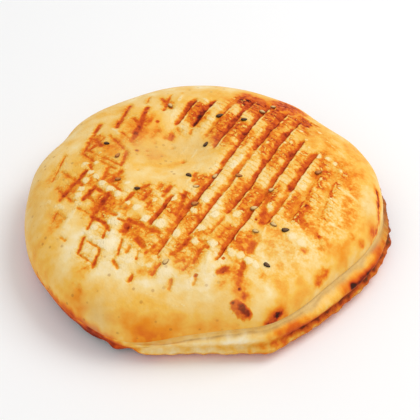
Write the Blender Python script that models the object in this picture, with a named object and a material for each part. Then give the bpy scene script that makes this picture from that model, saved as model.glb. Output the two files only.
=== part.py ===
"""Kulcha: a round puffed flatbread with a furrowed, grilled top and a few seeds.

One closed body in metres, +Z up, resting on z = 0. The side shown first faces -Y.
Bearings are in degrees, counted from +X towards +Y. Places are given from the middle of the
round outline; the finished body is moved so that the middle of its box is over the origin.
"""
import math

import bmesh
import bpy
import numpy as np
from mathutils import Matrix, Vector

MM = 0.001

# Driving sizes of the whole bread
RADIUS = 79.5 * MM
HEIGHT = 38.0 * MM
DOME_POWER = 2.5
WIDEST_HEIGHT = 12.0 * MM
BOX_MIDDLE = (2.12 * MM, 2.28 * MM)

# The fold that parts the puffed top from the lower crust, on the right and in front
FOLD_FROM = (-122.0, -96.0)
FOLD_TO = (52.0, 22.0)
FOLD_INSET = 3.4 * MM
FOLD_INSET_CORNER = 3.0 * MM
FOLD_CORNER_BEARING = -35.0
FOLD_LIFT = 4.0 * MM
FOLD_FRONT_DROP = 4.0 * MM
FOLD_FRONT_BEARING = -108.0

# Side rings below the dome's edge: distance in from the outline and height, in mm
PLAIN_SIDE = ((0.0, 11.2), (0.2, 9.8), (0.9, 8.0), (2.0, 6.2), (3.4, 4.4), (5.8, 2.0), (10.0, 0.0))
LOWER_CRUST_SIDE = ((0.4, 14.8), (-0.9, 13.7), (0.9, 11.0), (1.6, 7.7), (0.0, 5.8), (1.6, 2.8), (5.0, 0.0))
FOLLOWS_FOLD = (True, True, False, False, False, False, False)

# Outline bumps: bearing, width in degrees, reach
OUTLINE_BUMPS = (
    (-88.0, 20.0, -3.0 * MM),
    (-42.0, 18.0, -3.4 * MM),
    (2.0, 16.0, 1.6 * MM),
    (24.0, 10.0, 1.2 * MM),
    (37.0, 7.0, -1.4 * MM),
    (46.0, 7.0, -1.8 * MM),
    (64.0, 9.0, -0.7 * MM),
    (118.0, 13.0, -1.7 * MM),
    (149.0, 7.0, -1.9 * MM),
    (14.0, 6.0, 0.8 * MM),
    (165.0, 7.0, 0.8 * MM),
    (-70.0, 8.0, 0.8 * MM),
    (-146.0, 8.0, -0.8 * MM),
)

# Bumps and crags of the lower crust alone, and each side ring's share of them
LOWER_BUMPS = (
    (-70.0, 5.0, 2.0 * MM),
    (-82.0, 3.5, 1.0 * MM),
    (-92.0, 12.0, -1.2 * MM),
    (-108.0, 4.0, 1.9 * MM),
    (-117.0, 2.5, 2.6 * MM),
    (-120.0, 5.0, 1.2 * MM),
    (-127.0, 5.0, 1.8 * MM),
    (-136.0, 4.0, 0.8 * MM),
    (-8.0, 5.0, 0.8 * MM),
)
CRAG_DEPTH = 0.32 * MM
CRAG_COUNTS = (31, 53, 74)
LOWER_SHARES = (0.0, 0.0, 0.2, 0.5, 1.0, 1.0, 0.6)

# The sunken place behind the middle
DIP_PLACE = (-12.0 * MM, 21.0 * MM)
DIP_HALF = (16.0 * MM, 20.0 * MM)
DIP_DEPTH = 6.0 * MM

# Furrows run along one heading; each has its distance across it at three places along it,
# and the stretches of it that are pressed in: from, to, depth
FURROW_HEADING = math.radians(60.0)
ALONG = (-60.0 * MM, 0.0, 60.0 * MM)
FURROW_WIDTH = 3.4 * MM
FURROW_WALL = 1.1 * MM
FURROWS = (
    ((-57.0, -59.0, -66.0), ((-29, -14, 0.6), (-11, 10, 1.0))),
    ((-49.5, -50.5, -58.0), ((-26, -20, 0.6), (12, 32, 0.7))),
    ((-46.5, -41.5, -51.0), ((-39, -22, 1.1), (2, 29, 1.2))),
    ((-39.0, -36.5, -36.5), ((-36, -26, 0.8), (-23, -17, 0.7), (14, 20, 0.7))),
    ((-28.5, -27.6, -31.6), ((-49, -29, 0.9), (26, 45, 1.2))),
    ((-19.0, -22.0, -22.5), ((-38, -22, 1.1), (28, 48, 1.4))),
    ((-10.5, -12.0, -14.8), ((-60, -48, 0.5), (25, 57, 0.8))),
    ((-4.0, -4.5, -8.0), ((-38, -10, 1.1), (18, 58, 1.4))),
    ((6.0, 5.2, 0.0), ((-50, 60, 1.4),)),
    ((12.4, 13.0, 8.8), ((-58, -52, 0.4), (-34, 58, 1.5))),
    ((20.5, 20.9, 16.4), ((-62, -56, 0.4), (-16, 57, 1.5))),
    ((28.3, 29.0, 24.6), ((-54, -48, 0.4), (-40, 42, 1.5))),
    ((34.6, 37.2, 33.2), ((-45, -41, 0.4), (-13, 38, 1.4))),
    ((42.0, 44.0, 39.5), ((-41, -36, 0.5), (-6, 27, 0.8))),
    ((56.0, 54.0, 42.0), ((4, 34, 0.5),)),
)

# Size of the top that the furrows divide, and how far apart the lines across them lie
CORE_RADIUS = 65.0 * MM
CORE_SEGMENTS = 48
RUNG_SPACING = 4.2 * MM
RUNG_RISE = 0.2 * MM
RUNG_REACH = 50.0 * MM
WAFFLE_DEPTH = 0.7 * MM
WAFFLE_ACROSS = (-14.0 * MM, -26.0 * MM)
SHORTEST_EDGE = 0.9 * MM
SHOULDER_SHARES = (0.25, 0.5, 0.72, 0.88)

# A scorched blister low in front: place, heading, half sizes, how far it stands out
BLISTER_PLACE = (14.1 * MM, -68.0 * MM)
BLISTER_HEADING = -43.0
BLISTER_HALF = (6.2 * MM, 3.6 * MM, 2.0 * MM)
BLISTER_SUNK = 0.9 * MM

# Seeds on the top: place in mm and heading
SEED_HALF = (1.45 * MM, 0.8 * MM, 0.62 * MM)
SEED_TAPER = 0.35
SEED_SIDES = 6
SEED_RINGS = 5
SEEDS = (
    (0.6, 22.6, 58), (-6.6, 0.0, -52), (-28.5, -9.0, -4), (33.6, -31.8, 12), (25.4, -50.2, -30),
    (28.7, -29.6, -32), (17.7, 37.8, 5), (6.9, 41.6, 20), (14.7, -1.9, -10), (-43.1, 23.0, -25),
    (49.3, 3.7, 30), (26.3, 47.3, -35), (31.5, 51.9, 5), (4.7, -0.6, 50), (-3.6, -8.4, 8),
    (28.4, -10.1, 35), (20.8, -20.3, 20), (21.2, -33.9, -15), (-15.7, -49.0, 45), (-37.6, 13.3, 60),
    (-36.9, -2.5, 0), (-15.4, 50.7, -60), (-3.9, -19.2, 15),
)


def smooth_step(value, low, high):
    """Rise smoothly from 0 at low to 1 at high."""
    share = np.clip((value - low) / (high - low), 0.0, 1.0)
    return share * share * (3.0 - 2.0 * share)


def bearing_bump(bearing, centre, width):
    """Be 1 at the centre bearing and fall off to both sides of it."""
    gap = (np.degrees(bearing) - centre + 180.0) % 360.0 - 180.0
    return np.exp(-((gap / width) ** 2))


def outline(bearing):
    """Radius of the widest line at a bearing in radians."""
    radius = RADIUS * (1.0 + 0.013 * np.cos(3 * bearing) - 0.008 * np.sin(3 * bearing))
    for centre, width, reach in OUTLINE_BUMPS:
        radius = radius + reach * bearing_bump(bearing, centre, width)
    return radius


def fold_share(bearing):
    """How much the fold shows at a bearing: 0 on the plain side, 1 on the folded side."""
    degrees = (np.degrees(bearing) + 180.0) % 360.0 - 180.0
    return smooth_step(degrees, *FOLD_FROM) * smooth_step(degrees, *FOLD_TO)


def dome_edge(bearing):
    """Radius and height of the dome's lower edge, which is the fold where one shows."""
    share = fold_share(bearing)
    inset = FOLD_INSET + FOLD_INSET_CORNER * bearing_bump(bearing, FOLD_CORNER_BEARING, 26.0)
    drop = FOLD_FRONT_DROP * bearing_bump(bearing, FOLD_FRONT_BEARING, 16.0)
    return outline(bearing) - share * inset, WIDEST_HEIGHT + share * FOLD_LIFT - drop


def dome_height(x, y):
    """Height of the smooth top, with its dip, above a place inside the dome's edge."""
    bearing = np.arctan2(y, x)
    edge_radius, edge_height = dome_edge(bearing)
    share = np.minimum(np.hypot(x, y) / edge_radius, 1.0)
    height = edge_height + (HEIGHT - edge_height) * (1.0 - share ** DOME_POWER) ** (1.0 / DOME_POWER)
    away = np.hypot((x - DIP_PLACE[0]) / DIP_HALF[0], (y - DIP_PLACE[1]) / DIP_HALF[1])
    return height - DIP_DEPTH * np.exp(-(away ** 2.4))


def furrow_across(along):
    """Distance across the heading of every furrow, at a distance along it."""
    return np.array([np.interp(along, ALONG, np.array(places) * MM) for places, _ in FURROWS])


def furrow_relief(along, across):
    """Height of the pressed furrows and the soft crests between them."""
    relief = 0.0
    for places, stretches in FURROWS:
        beside = across - np.interp(along, ALONG, np.array(places) * MM)
        side = FURROW_WALL if beside > 0 else FURROW_WIDTH
        valley = max(0.0, 1.0 - abs(beside) / side)
        for start, end, depth in stretches:
            ends = smooth_step(along, (start - 3) * MM, (start + 3) * MM)
            ends *= 1.0 - smooth_step(along, (end - 3) * MM, (end + 3) * MM)
            relief -= depth * MM * valley * ends
    return relief


def rung_relief(along, across):
    """Height of the lines across the furrows: pressed cells on the left, faint rungs elsewhere."""
    pressed = round(along / RUNG_SPACING) % 2 == 0
    inside = 1.0 - float(smooth_step(math.hypot(along, across), RUNG_REACH, RUNG_REACH * 1.2))
    waffle = float(smooth_step(-across, -WAFFLE_ACROSS[0], -WAFFLE_ACROSS[1]))
    depth = RUNG_RISE + (WAFFLE_DEPTH - RUNG_RISE) * waffle
    return -depth * inside if pressed else RUNG_RISE * inside


def to_rows(x, y):
    """Turn a place into distances along and across the furrows' heading."""
    cosine, sine = math.cos(FURROW_HEADING), math.sin(FURROW_HEADING)
    return x * cosine + y * sine, x * sine - y * cosine


def to_plan(along, across):
    """Turn distances along and across the furrows' heading into a place."""
    cosine, sine = math.cos(FURROW_HEADING), math.sin(FURROW_HEADING)
    return along * cosine + across * sine, along * sine - across * cosine


def clear_scene():
    """Remove every object of the scene."""
    for item in list(bpy.data.objects):
        bpy.data.objects.remove(item, do_unlink=True)


def cut_lines(mesh, direction, distances):
    """Divide the flat top along straight lines square to a direction."""
    for distance in distances:
        bmesh.ops.bisect_plane(
            mesh,
            geom=mesh.verts[:] + mesh.edges[:] + mesh.faces[:],
            plane_co=direction * float(distance),
            plane_no=direction,
        )


def core_top():
    """Build the flat top, divided along the furrows and across them."""
    mesh = bmesh.new()
    bmesh.ops.create_circle(mesh, cap_ends=True, segments=CORE_SEGMENTS, radius=CORE_RADIUS)
    across_way = Vector((*to_plan(0.0, 1.0), 0.0))
    along_way = Vector((*to_plan(1.0, 0.0), 0.0))
    middles = furrow_across(0.0)
    crests = (middles[:-1] + middles[1:]) / 2 - FURROW_WALL
    lines = [*middles, *(middles + FURROW_WALL), *(middles - FURROW_WIDTH), *crests, CORE_RADIUS * 0.94]
    cut_lines(mesh, across_way, lines)
    rungs = int(CORE_RADIUS / RUNG_SPACING)
    cut_lines(mesh, along_way, [rung * RUNG_SPACING for rung in range(-rungs, rungs + 1)])
    rim = [vert for vert in mesh.verts if vert.is_boundary]
    bmesh.ops.remove_doubles(mesh, verts=rim, dist=SHORTEST_EDGE)
    return mesh


def place_core(mesh):
    """Bend the lines to follow the furrows and raise the top to its height."""
    straight = furrow_across(0.0)
    for vert in mesh.verts:
        along, across = to_rows(vert.co.x, vert.co.y)
        rise = rung_relief(along, across)
        if not vert.is_boundary:
            across += float(np.interp(across, straight, furrow_across(along) - straight))
        x, y = to_plan(along, across)
        vert.co = (x, y, float(dome_height(x, y)) + furrow_relief(along, across) + rise)


def extend_ring(mesh, place):
    """Extrude the open rim once and put each new vertex where place(bearing) says."""
    rim = [edge for edge in mesh.edges if edge.is_boundary]
    grown = bmesh.ops.extrude_edge_only(mesh, edges=rim)["geom"]
    for vert in [item for item in grown if isinstance(item, bmesh.types.BMVert)]:
        bearing = math.atan2(vert.co.y, vert.co.x)
        radius, height = place(bearing)
        vert.co = (radius * math.cos(bearing), radius * math.sin(bearing), height)


def shoulder_place(share):
    """Return the rule for a ring on the dome, a share of the way out to its edge."""
    def place(bearing):
        edge_radius, _ = dome_edge(bearing)
        turn = math.sin(share * math.pi / 2)
        radius = CORE_RADIUS + (edge_radius - CORE_RADIUS) * turn
        return radius, float(dome_height(radius * math.cos(bearing), radius * math.sin(bearing)))
    return place


def lower_reach(bearing, share):
    """Uneven reach of the lower crust at a bearing, rougher where the fold shows."""
    waves = sum(math.sin(count * bearing + count) for count in CRAG_COUNTS)
    bumps = sum(reach * bearing_bump(bearing, centre, width) for centre, width, reach in LOWER_BUMPS)
    return float(bumps) + CRAG_DEPTH * waves * max(share, 0.25)


def side_place(ring):
    """Return the rule for one ring of the side, counted down from the dome's edge."""
    def place(bearing):
        share = float(fold_share(bearing))
        edge_radius, edge_height = dome_edge(bearing)
        plain_in, plain_height = PLAIN_SIDE[ring]
        folded_in, folded_height = LOWER_CRUST_SIDE[ring]
        reach = edge_radius if FOLLOWS_FOLD[ring] else outline(bearing)
        folded = reach - folded_in * MM
        radius = (1 - share) * (outline(bearing) - plain_in * MM) + share * folded
        height = (1 - share) * plain_height * MM + share * folded_height * MM
        if FOLLOWS_FOLD[ring]:
            height += edge_height - WIDEST_HEIGHT - share * FOLD_LIFT
        radius += LOWER_SHARES[ring] * lower_reach(bearing, share)
        return radius, height
    return place


def bread_body():
    """Build the bread without its blister and seeds."""
    mesh = core_top()
    place_core(mesh)
    for share in SHOULDER_SHARES:
        extend_ring(mesh, shoulder_place(share))
    extend_ring(mesh, dome_edge)
    for ring in range(len(PLAIN_SIDE)):
        extend_ring(mesh, side_place(ring))
    rim = [edge for edge in mesh.edges if edge.is_boundary]
    bmesh.ops.contextual_create(mesh, geom=rim)
    bmesh.ops.recalc_face_normals(mesh, faces=mesh.faces[:])
    data = bpy.data.meshes.new("kulcha")
    mesh.to_mesh(data)
    mesh.free()
    body = bpy.data.objects.new("kulcha", data)
    bpy.context.scene.collection.objects.link(body)
    return body


def bread_material():
    """Make the baked crust's material."""
    material = bpy.data.materials.new("crust")
    material.use_nodes = True
    shader = material.node_tree.nodes["Principled BSDF"]
    shader.inputs["Base Color"].default_value = (0.72, 0.42, 0.16, 1.0)
    shader.inputs["Roughness"].default_value = 0.6
    shader.inputs["Metallic"].default_value = 0.0
    return material


def surface_turn(x, y, heading):
    """Turn that lays a thing on the top at a place, pointing along a heading."""
    step = 1.0 * MM
    slope_x = float(dome_height(x + step, y) - dome_height(x - step, y)) / (2 * step)
    slope_y = float(dome_height(x, y + step) - dome_height(x, y - step)) / (2 * step)
    normal = Vector((-slope_x, -slope_y, 1.0)).normalized()
    lean = Vector((0.0, 0.0, 1.0)).rotation_difference(normal).to_matrix().to_4x4()
    return lean @ Matrix.Rotation(math.radians(heading), 4, "Z")


def lump(name, half, sides, rings, taper):
    """Make an egg-shaped lump around the origin, narrower towards its +X end."""
    mesh = bmesh.new()
    bmesh.ops.create_uvsphere(mesh, u_segments=sides, v_segments=rings, radius=1.0)
    for vert in mesh.verts:
        narrow = 1.0 - taper * vert.co.x
        vert.co = (vert.co.x * half[0], vert.co.y * half[1] * narrow, vert.co.z * half[2])
    data = bpy.data.meshes.new(name)
    mesh.to_mesh(data)
    mesh.free()
    return bpy.data.objects.new(name, data)


def add_lumps(collection):
    """Put the blister and the seeds in a collection, each half sunk in the crust."""
    x, y = BLISTER_PLACE
    blister = lump("blister", BLISTER_HALF, 16, 8, 0.1)
    place = Matrix.Translation((x, y, float(dome_height(x, y)) - BLISTER_SUNK))
    blister.data.transform(place @ surface_turn(x, y, BLISTER_HEADING))
    collection.objects.link(blister)
    for number, (x_mm, y_mm, heading) in enumerate(SEEDS):
        x, y = x_mm * MM, y_mm * MM
        seed = lump(f"seed_{number}", SEED_HALF, SEED_SIDES, SEED_RINGS, SEED_TAPER)
        relief = furrow_relief(*to_rows(x, y))
        place = Matrix.Translation((x, y, float(dome_height(x, y)) + relief))
        seed.data.transform(place @ surface_turn(x, y, heading))
        collection.objects.link(seed)


def fuse(body, collection):
    """Join the lumps to the body with one Boolean and remove what it used."""
    union = body.modifiers.new("fuse", "BOOLEAN")
    union.operation = "UNION"
    union.operand_type = "COLLECTION"
    union.solver = "MANIFOLD"
    union.collection = collection
    bpy.context.view_layer.objects.active = body
    body.select_set(True)
    bpy.ops.object.modifier_apply(modifier=union.name)
    for item in list(collection.objects):
        bpy.data.objects.remove(item, do_unlink=True)
    bpy.data.collections.remove(collection)


def main():
    """Build the bread."""
    clear_scene()
    body = bread_body()
    lumps = bpy.data.collections.new("lumps")
    bpy.context.scene.collection.children.link(lumps)
    add_lumps(lumps)
    fuse(body, lumps)
    body.data.transform(Matrix.Translation((-BOX_MIDDLE[0], -BOX_MIDDLE[1], 0.0)))
    body.data.materials.clear()
    body.data.materials.append(bread_material())
    for face in body.data.polygons:
        face.use_smooth = True


main()
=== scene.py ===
"""Dresses the kulcha: a round puffed flatbread with a grilled, furrowed top.

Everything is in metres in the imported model's frame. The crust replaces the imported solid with
a finer one of the same form, and the seeds lie on it as pieces of their own. Marks that were
read off the photograph are kept as pixels of it and are laid on the bread through the camera.
"""
import logging
import math
from collections.abc import Iterator
from dataclasses import dataclass, fields
from enum import Enum

import bmesh
import bpy
import numpy as np
from mathutils import Matrix, Vector, noise


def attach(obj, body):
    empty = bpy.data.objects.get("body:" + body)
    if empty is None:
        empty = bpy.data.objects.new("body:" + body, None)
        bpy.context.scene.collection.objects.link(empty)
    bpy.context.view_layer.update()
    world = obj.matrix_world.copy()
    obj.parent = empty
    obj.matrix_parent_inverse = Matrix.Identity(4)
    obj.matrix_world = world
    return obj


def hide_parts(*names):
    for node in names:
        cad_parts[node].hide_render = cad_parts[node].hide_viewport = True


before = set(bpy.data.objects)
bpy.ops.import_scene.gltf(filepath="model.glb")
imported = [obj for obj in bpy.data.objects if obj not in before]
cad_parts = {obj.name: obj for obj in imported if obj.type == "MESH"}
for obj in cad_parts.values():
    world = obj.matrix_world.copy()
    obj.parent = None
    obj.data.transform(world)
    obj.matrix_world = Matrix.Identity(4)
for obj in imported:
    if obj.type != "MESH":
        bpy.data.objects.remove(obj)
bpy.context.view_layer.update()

MM = 0.001
NODE = "kulcha"
BODY = "root"

Array = np.ndarray
Pair = tuple[float, float]
Pixel = tuple[float, float]
Place = tuple[float, float]
Triple = tuple[float, float, float]
Shade = tuple[float, float, float, float]
Points = tuple[Array, Array, Array]
Looks = dict[str, Array]
log = logging.getLogger("kulcha")


def smooth_step(value: Array, low: float, high: float) -> Array:
    """Rise smoothly from 0 at low to 1 at high."""
    share = np.clip((value - low) / (high - low), 0.0, 1.0)
    return share * share * (3.0 - 2.0 * share)


def fall_off(away: Array, full: float, slope: float) -> Array:
    """Fall evenly with the distance from a number, kept between 0 and 1."""
    return np.clip(full - slope * away, 0.0, 1.0)


def bell(away: Array) -> Array:
    """Be 1 at 0 and fall off to both sides, to about a third at 1."""
    return np.exp(-(away ** 2))


def straight(line: Pair, value: Array) -> Array:
    """Read a straight line, given by its number at 0 and what a value of 1 adds."""
    return line[0] + line[1] * value


def raise_to(total: Array, value: Array) -> None:
    """Raise an array in place to a value wherever that is higher."""
    np.maximum(total, value, out=total)


def stand(radius: Array, bearing: Array, height: Array) -> Array:
    """Turn radii, bearings in radians and heights into points, one a row."""
    return np.stack([radius * np.cos(bearing), radius * np.sin(bearing), height], axis=1)


def wrap(degrees: Array) -> Array:
    """Bring angles between -180 and 180 degrees."""
    return (degrees + 180.0) % 360.0 - 180.0


def bearing_bump(bearing: Array, centre: float, width: float) -> Array:
    """Be 1 where a bearing in radians is at a centre in degrees, and about a third a width away."""
    return bell(wrap(np.degrees(bearing) - centre) / width)


def linear(level: float) -> float:
    """Undo the screen curve for one channel from 0 to 1."""
    return level / 12.92 if level <= 0.04045 else ((level + 0.055) / 1.055) ** 2.4


def srgb(red: int, green: int, blue: int) -> Shade:
    """Turn a screen colour of 0 to 255 into a linear one with full alpha."""
    return (linear(red / 255), linear(green / 255), linear(blue / 255), 1.0)


def add_object(name: str, mesh: bmesh.types.BMesh, smooth: bool) -> bpy.types.Object:
    """Put a mesh in the scene.

    Args:
        name: Name of the object and its mesh.
        mesh: What it is made from, which is freed.
        smooth: Whether its faces are shaded smooth.

    Returns:
        The object.
    """
    for face in mesh.faces:
        face.smooth = smooth
    data = bpy.data.meshes.new(name)
    mesh.to_mesh(data)
    mesh.free()
    made = bpy.data.objects.new(name, data)
    bpy.context.scene.collection.objects.link(made)
    return made


@dataclass(frozen=True)
class Ripple:
    """Smooth noise in space: the size of its bumps, and a shift that picks a stretch of it."""

    size: float
    shift: float

    def read(self, points: Array) -> Array:
        """Read it at points, one a row, as numbers about -1 to 1."""
        scaled = points / self.size + self.shift
        return np.array([noise.noise(Vector(point)) for point in scaled.tolist()])


@dataclass(frozen=True)
class Furrow:
    """One pressed furrow, in mm.

    Its places are its distances across the heading at the three places along it that the grill
    names. Each stretch that shows has a start, an end, a depth and a toast.
    """

    places: Triple
    stretches: tuple[tuple[float, float, float, float], ...]


@dataclass(frozen=True)
class Stroke:
    """A mark between two pixels of the photograph: half width in mm, and toast or strength."""

    start: Pixel
    end: Pixel
    half: float = 0.5
    toast: float = 0.6


@dataclass(frozen=True)
class Patch:
    """A soft patch around a pixel of the photograph: half widths in mm, and what it adds."""

    centre: Pixel
    half_x: float
    half_y: float
    toast: float


@dataclass(frozen=True)
class Cell:
    """A browned cell between the grid's pale bars, with its half lengths in mm."""

    centre: Pixel
    half_along: float
    half_across: float
    toast: float


@dataclass(frozen=True)
class Spot:
    """A round spot on a pixel of the photograph: radius in mm, and toast or strength."""

    centre: Pixel
    radius: float
    toast: float = 0.95


@dataclass(frozen=True)
class SideMark:
    """Browning on the side: bearing and width in degrees, side ring and half height in rings."""

    bearing: float
    width: float
    ring: float
    reach: float
    toast: float


def stroke_rows(*rows: tuple[float, ...]) -> tuple[Stroke, ...]:
    """Turn rows of column, row, column, row, half width and toast into strokes."""
    return tuple(Stroke(row[:2], row[2:4], *row[4:]) for row in rows)


def pixel_rows(kind: type, *rows: tuple[float, ...]) -> tuple:
    """Turn rows that start with a column and a row into things of one kind."""
    return tuple(kind(row[:2], *row[2:]) for row in rows)


# Furrows from the rear left to the front right

FURROWS = (
    Furrow((-28.5, -27.6, -31.6), ((26, 45, 1.2, 0.78),)),
    Furrow((-19.0, -22.0, -22.5), ((28, 48, 1.4, 0.9),)),
    Furrow((-10.5, -12.0, -14.8), ((25, 57, 0.7, 0.54),)),
    Furrow((-4.0, -4.5, -8.0), ((-38, -19, 1.1, 0.72), (18, 58, 1.4, 0.82))),
    Furrow(
        (6.0, 5.2, 0.0),
        ((-50, -32, 0.6, 0.6), (-32, 6, 1.4, 0.76), (6, 22, 1.0, 0.64), (22, 60, 1.4, 0.78)),
    ),
    Furrow((12.4, 13.0, 8.8), ((-34, -8, 1.5, 0.72), (-8, 24, 1.0, 0.56), (24, 58, 1.5, 0.78))),
    Furrow((20.5, 20.9, 16.4), ((-16, 18, 1.5, 0.74), (18, 57, 1.5, 0.78))),
    Furrow((28.3, 29.0, 24.6), ((-40, -8, 1.5, 0.7), (-8, 14, 1.5, 0.66), (14, 42, 1.5, 0.76))),
    Furrow((34.6, 37.2, 33.2), ((-13, 8, 1.2, 0.64), (8, 38, 1.4, 0.76))),
    Furrow((42.0, 44.0, 39.5), ((-6, 27, 0.7, 0.46),)),
    Furrow((56.0, 54.0, 42.0), ((4, 34, 0.4, 0.4),)),
)

# Short browned strokes: column and row of each end, half width in mm, toast

STROKES = stroke_rows(
    (65, 156, 60, 166, 0.4, 0.6), (60, 166, 52, 181, 0.4, 0.54), (100, 125, 91, 138, 0.9, 0.74),
    (91, 138, 84, 152, 0.7, 0.72), (83, 153, 94, 161, 0.5, 0.68), (92, 135, 101, 145, 0.9, 0.66),
    (95, 145, 88, 150, 0.6, 0.64), (89, 150, 101, 156, 0.4, 0.6), (110, 135, 116, 140, 0.5, 0.66),
    (116, 140, 127, 151, 0.5, 0.7), (127, 151, 121, 165, 0.6, 0.68), (121, 165, 102, 156, 0.5, 0.66),
    (101, 160, 115, 168, 0.5, 0.6), (90, 164, 92, 169, 0.6, 0.64), (62, 171, 77, 182, 0.45, 0.58),
    (57, 188, 72, 200, 0.5, 0.66), (60, 200, 70, 187, 0.8, 0.74), (70, 187, 86, 171, 0.9, 0.78),
    (74, 178, 82, 184, 0.9, 0.7), (95, 185, 84, 198, 1.0, 0.78), (98, 188, 105, 193, 0.8, 0.7),
    (109, 192, 95, 211, 1.0, 0.76), (88, 196, 98, 203, 0.5, 0.64), (103, 206, 116, 214, 0.7, 0.66),
    (96, 204, 93, 214, 0.7, 0.7), (108, 167, 103, 178, 0.7, 0.68), (103, 178, 122, 190, 0.5, 0.62),
    (111, 180, 121, 171, 1.1, 0.66), (106, 172, 118, 175, 0.6, 0.6), (92, 215, 104, 222, 0.8, 0.74),
    (104, 222, 109, 230, 0.6, 0.64), (107, 225, 103, 237, 0.5, 0.6), (94, 216, 88, 228, 0.6, 0.68),
    (77, 207, 92, 214, 0.45, 0.52), (84, 237, 78, 253, 0.55, 0.66), (87, 240, 99, 247, 0.45, 0.58),
    (99, 249, 93, 266, 0.7, 0.7), (78, 253, 92, 262, 0.5, 0.58), (57, 212, 52, 222, 0.35, 0.52),
    (59, 213, 65, 218, 0.35, 0.46), (60, 236, 65, 240, 0.5, 0.42), (122, 238, 118, 253, 0.5, 0.62),
    (130, 245, 126, 252, 0.6, 0.56), (138, 250, 136, 259, 0.45, 0.56), (113, 260, 118, 267, 0.6, 0.54),
    (132, 274, 129, 281, 0.6, 0.62), (152, 274, 160, 263, 0.5, 0.6), (134, 191, 126, 199, 0.8, 0.7),
    (143, 198, 150, 190, 0.8, 0.68), (140, 187, 148, 184, 0.7, 0.62), (147, 206, 152, 199, 0.6, 0.58),
    (171, 185, 164, 195, 0.9, 0.72), (158, 187, 163, 184, 0.6, 0.6), (123, 231, 130, 220, 1.3, 0.8),
    (130, 220, 144, 225, 0.9, 0.74), (144, 226, 158, 231, 1.1, 0.72), (118, 218, 126, 222, 0.5, 0.6),
    (136, 237, 143, 246, 1.1, 0.68), (146, 252, 160, 240, 0.6, 0.6), (185, 192, 181, 204, 1.0, 0.78),
    (181, 204, 176, 213, 0.8, 0.7), (190, 237, 180, 247, 0.8, 0.7), (180, 247, 171, 253, 0.9, 0.68),
    (203, 245, 192, 262, 0.6, 0.64), (192, 258, 183, 268, 0.7, 0.6), (162, 245, 158, 256, 0.6, 0.6),
    (224, 216, 210, 232, 0.5, 0.58), (200, 238, 208, 246, 0.8, 0.64), (130, 105, 124, 115, 0.6, 0.74),
    (124, 115, 117, 126, 0.8, 0.74), (147, 107, 141, 122, 1.0, 0.78), (140, 124, 132, 139, 1.1, 0.76),
    (133, 118, 141, 124, 0.7, 0.76), (121, 131, 134, 140, 0.5, 0.7), (158, 129, 151, 136, 0.7, 0.5),
    (162, 98, 172, 107, 0.6, 0.66), (171, 95, 164, 109, 0.6, 0.66), (150, 97, 147, 102, 0.4, 0.54),
    (172, 132, 170, 139, 0.8, 0.56), (177, 128, 180, 131, 0.5, 0.5), (192, 129, 190, 133, 0.5, 0.5),
    (307, 198, 288, 218, 0.7, 0.58), (302, 214, 303, 226, 1.1, 0.62), (319, 238, 321, 248, 0.5, 0.46),
    (318, 172, 307, 195, 0.8, 0.6), (334, 177, 331, 190, 0.7, 0.62), (313, 180, 306, 202, 0.6, 0.6),
    (327, 200, 322, 217, 0.5, 0.5), (266, 196, 262, 222, 1.1, 0.7), (254, 234, 250, 252, 1.3, 0.66),
    (243, 263, 240, 274, 0.9, 0.74), (218, 272, 225, 268, 1.0, 0.74), (196, 275, 193, 284, 0.6, 0.5),
    (171, 279, 169, 288, 0.6, 0.5), (197, 185, 204, 180, 1.0, 0.62), (376.5, 190, 378.5, 208, 0.6, 0.92),
    (378.5, 208, 376, 233, 0.6, 0.86), (196, 172, 193, 180, 0.7, 0.6), (298, 117, 303, 122, 0.4, 0.6),
    (304, 127, 308, 134, 0.45, 0.6), (309, 121, 318, 127, 0.3, 0.5), (322, 163, 327, 169, 0.5, 0.58),
    (327, 169, 337, 172, 0.4, 0.54), (324, 152, 322, 160, 0.4, 0.52), (339, 163, 346, 172, 0.4, 0.5),
    (74.5, 284.5, 79.5, 291, 0.6, 0.46),
)

# Pale bars and scratches, with two painted highlights in the dip: column and row of each end, half width in
# mm, strength

PALES = stroke_rows(
    (108, 250, 122, 208, 1.4, 0.6), (122, 208, 134, 184, 0.9, 0.6), (172, 116, 182, 96, 1.0, 0.8),
    (150, 238, 166, 212, 1.2, 0.7), (166, 212, 190, 178, 1.0, 0.7), (206, 268, 222, 196, 1.2, 0.7),
    (222, 196, 262, 128, 1.0, 0.9), (84, 166, 124, 198, 1.0, 0.4), (124, 200, 168, 224, 1.0, 0.5),
    (84, 230, 120, 250, 1.6, 0.8), (112, 128, 120, 134, 0.9, 0.8), (204, 98, 224, 110, 1.0, 0.8),
    (228, 250, 264, 268, 1.2, 0.5), (262, 236, 300, 150, 0.6, 0.8), (64, 232, 80, 198, 2.6, 0.6),
    (50, 200, 72, 216, 2.4, 0.6), (112, 268, 184, 305, 0.5, 0.75), (142, 292, 178, 307, 0.4, 0.6),
    (196, 288, 213, 301, 0.4, 0.6), (338, 187, 357, 201, 0.7, 0.75), (327, 203, 354, 220, 0.7, 0.75),
    # The strokes from (181, 154) to (187, 147) and from (192, 157) to (197, 149) are painted highlights.
    (330, 223, 346, 233, 0.7, 0.75), (300, 232, 322, 160, 0.8, 0.5), (181, 154, 187, 147, 0.7, 0.5),
    (192, 157, 197, 149, 0.7, 0.6), (297, 112, 316, 124, 0.5, 0.7), (303, 120, 321, 133, 0.6, 0.7),
    (312, 117, 336, 137, 0.35, 0.6), (317, 131, 337, 146, 0.4, 0.65), (327, 141, 346, 158, 0.5, 0.6),
    (341, 148, 356, 163, 0.4, 0.55), (322, 122, 334, 131, 0.3, 0.5),
)

# Browned cells between the bars: column, row, half lengths in mm along and across, toast

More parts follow.
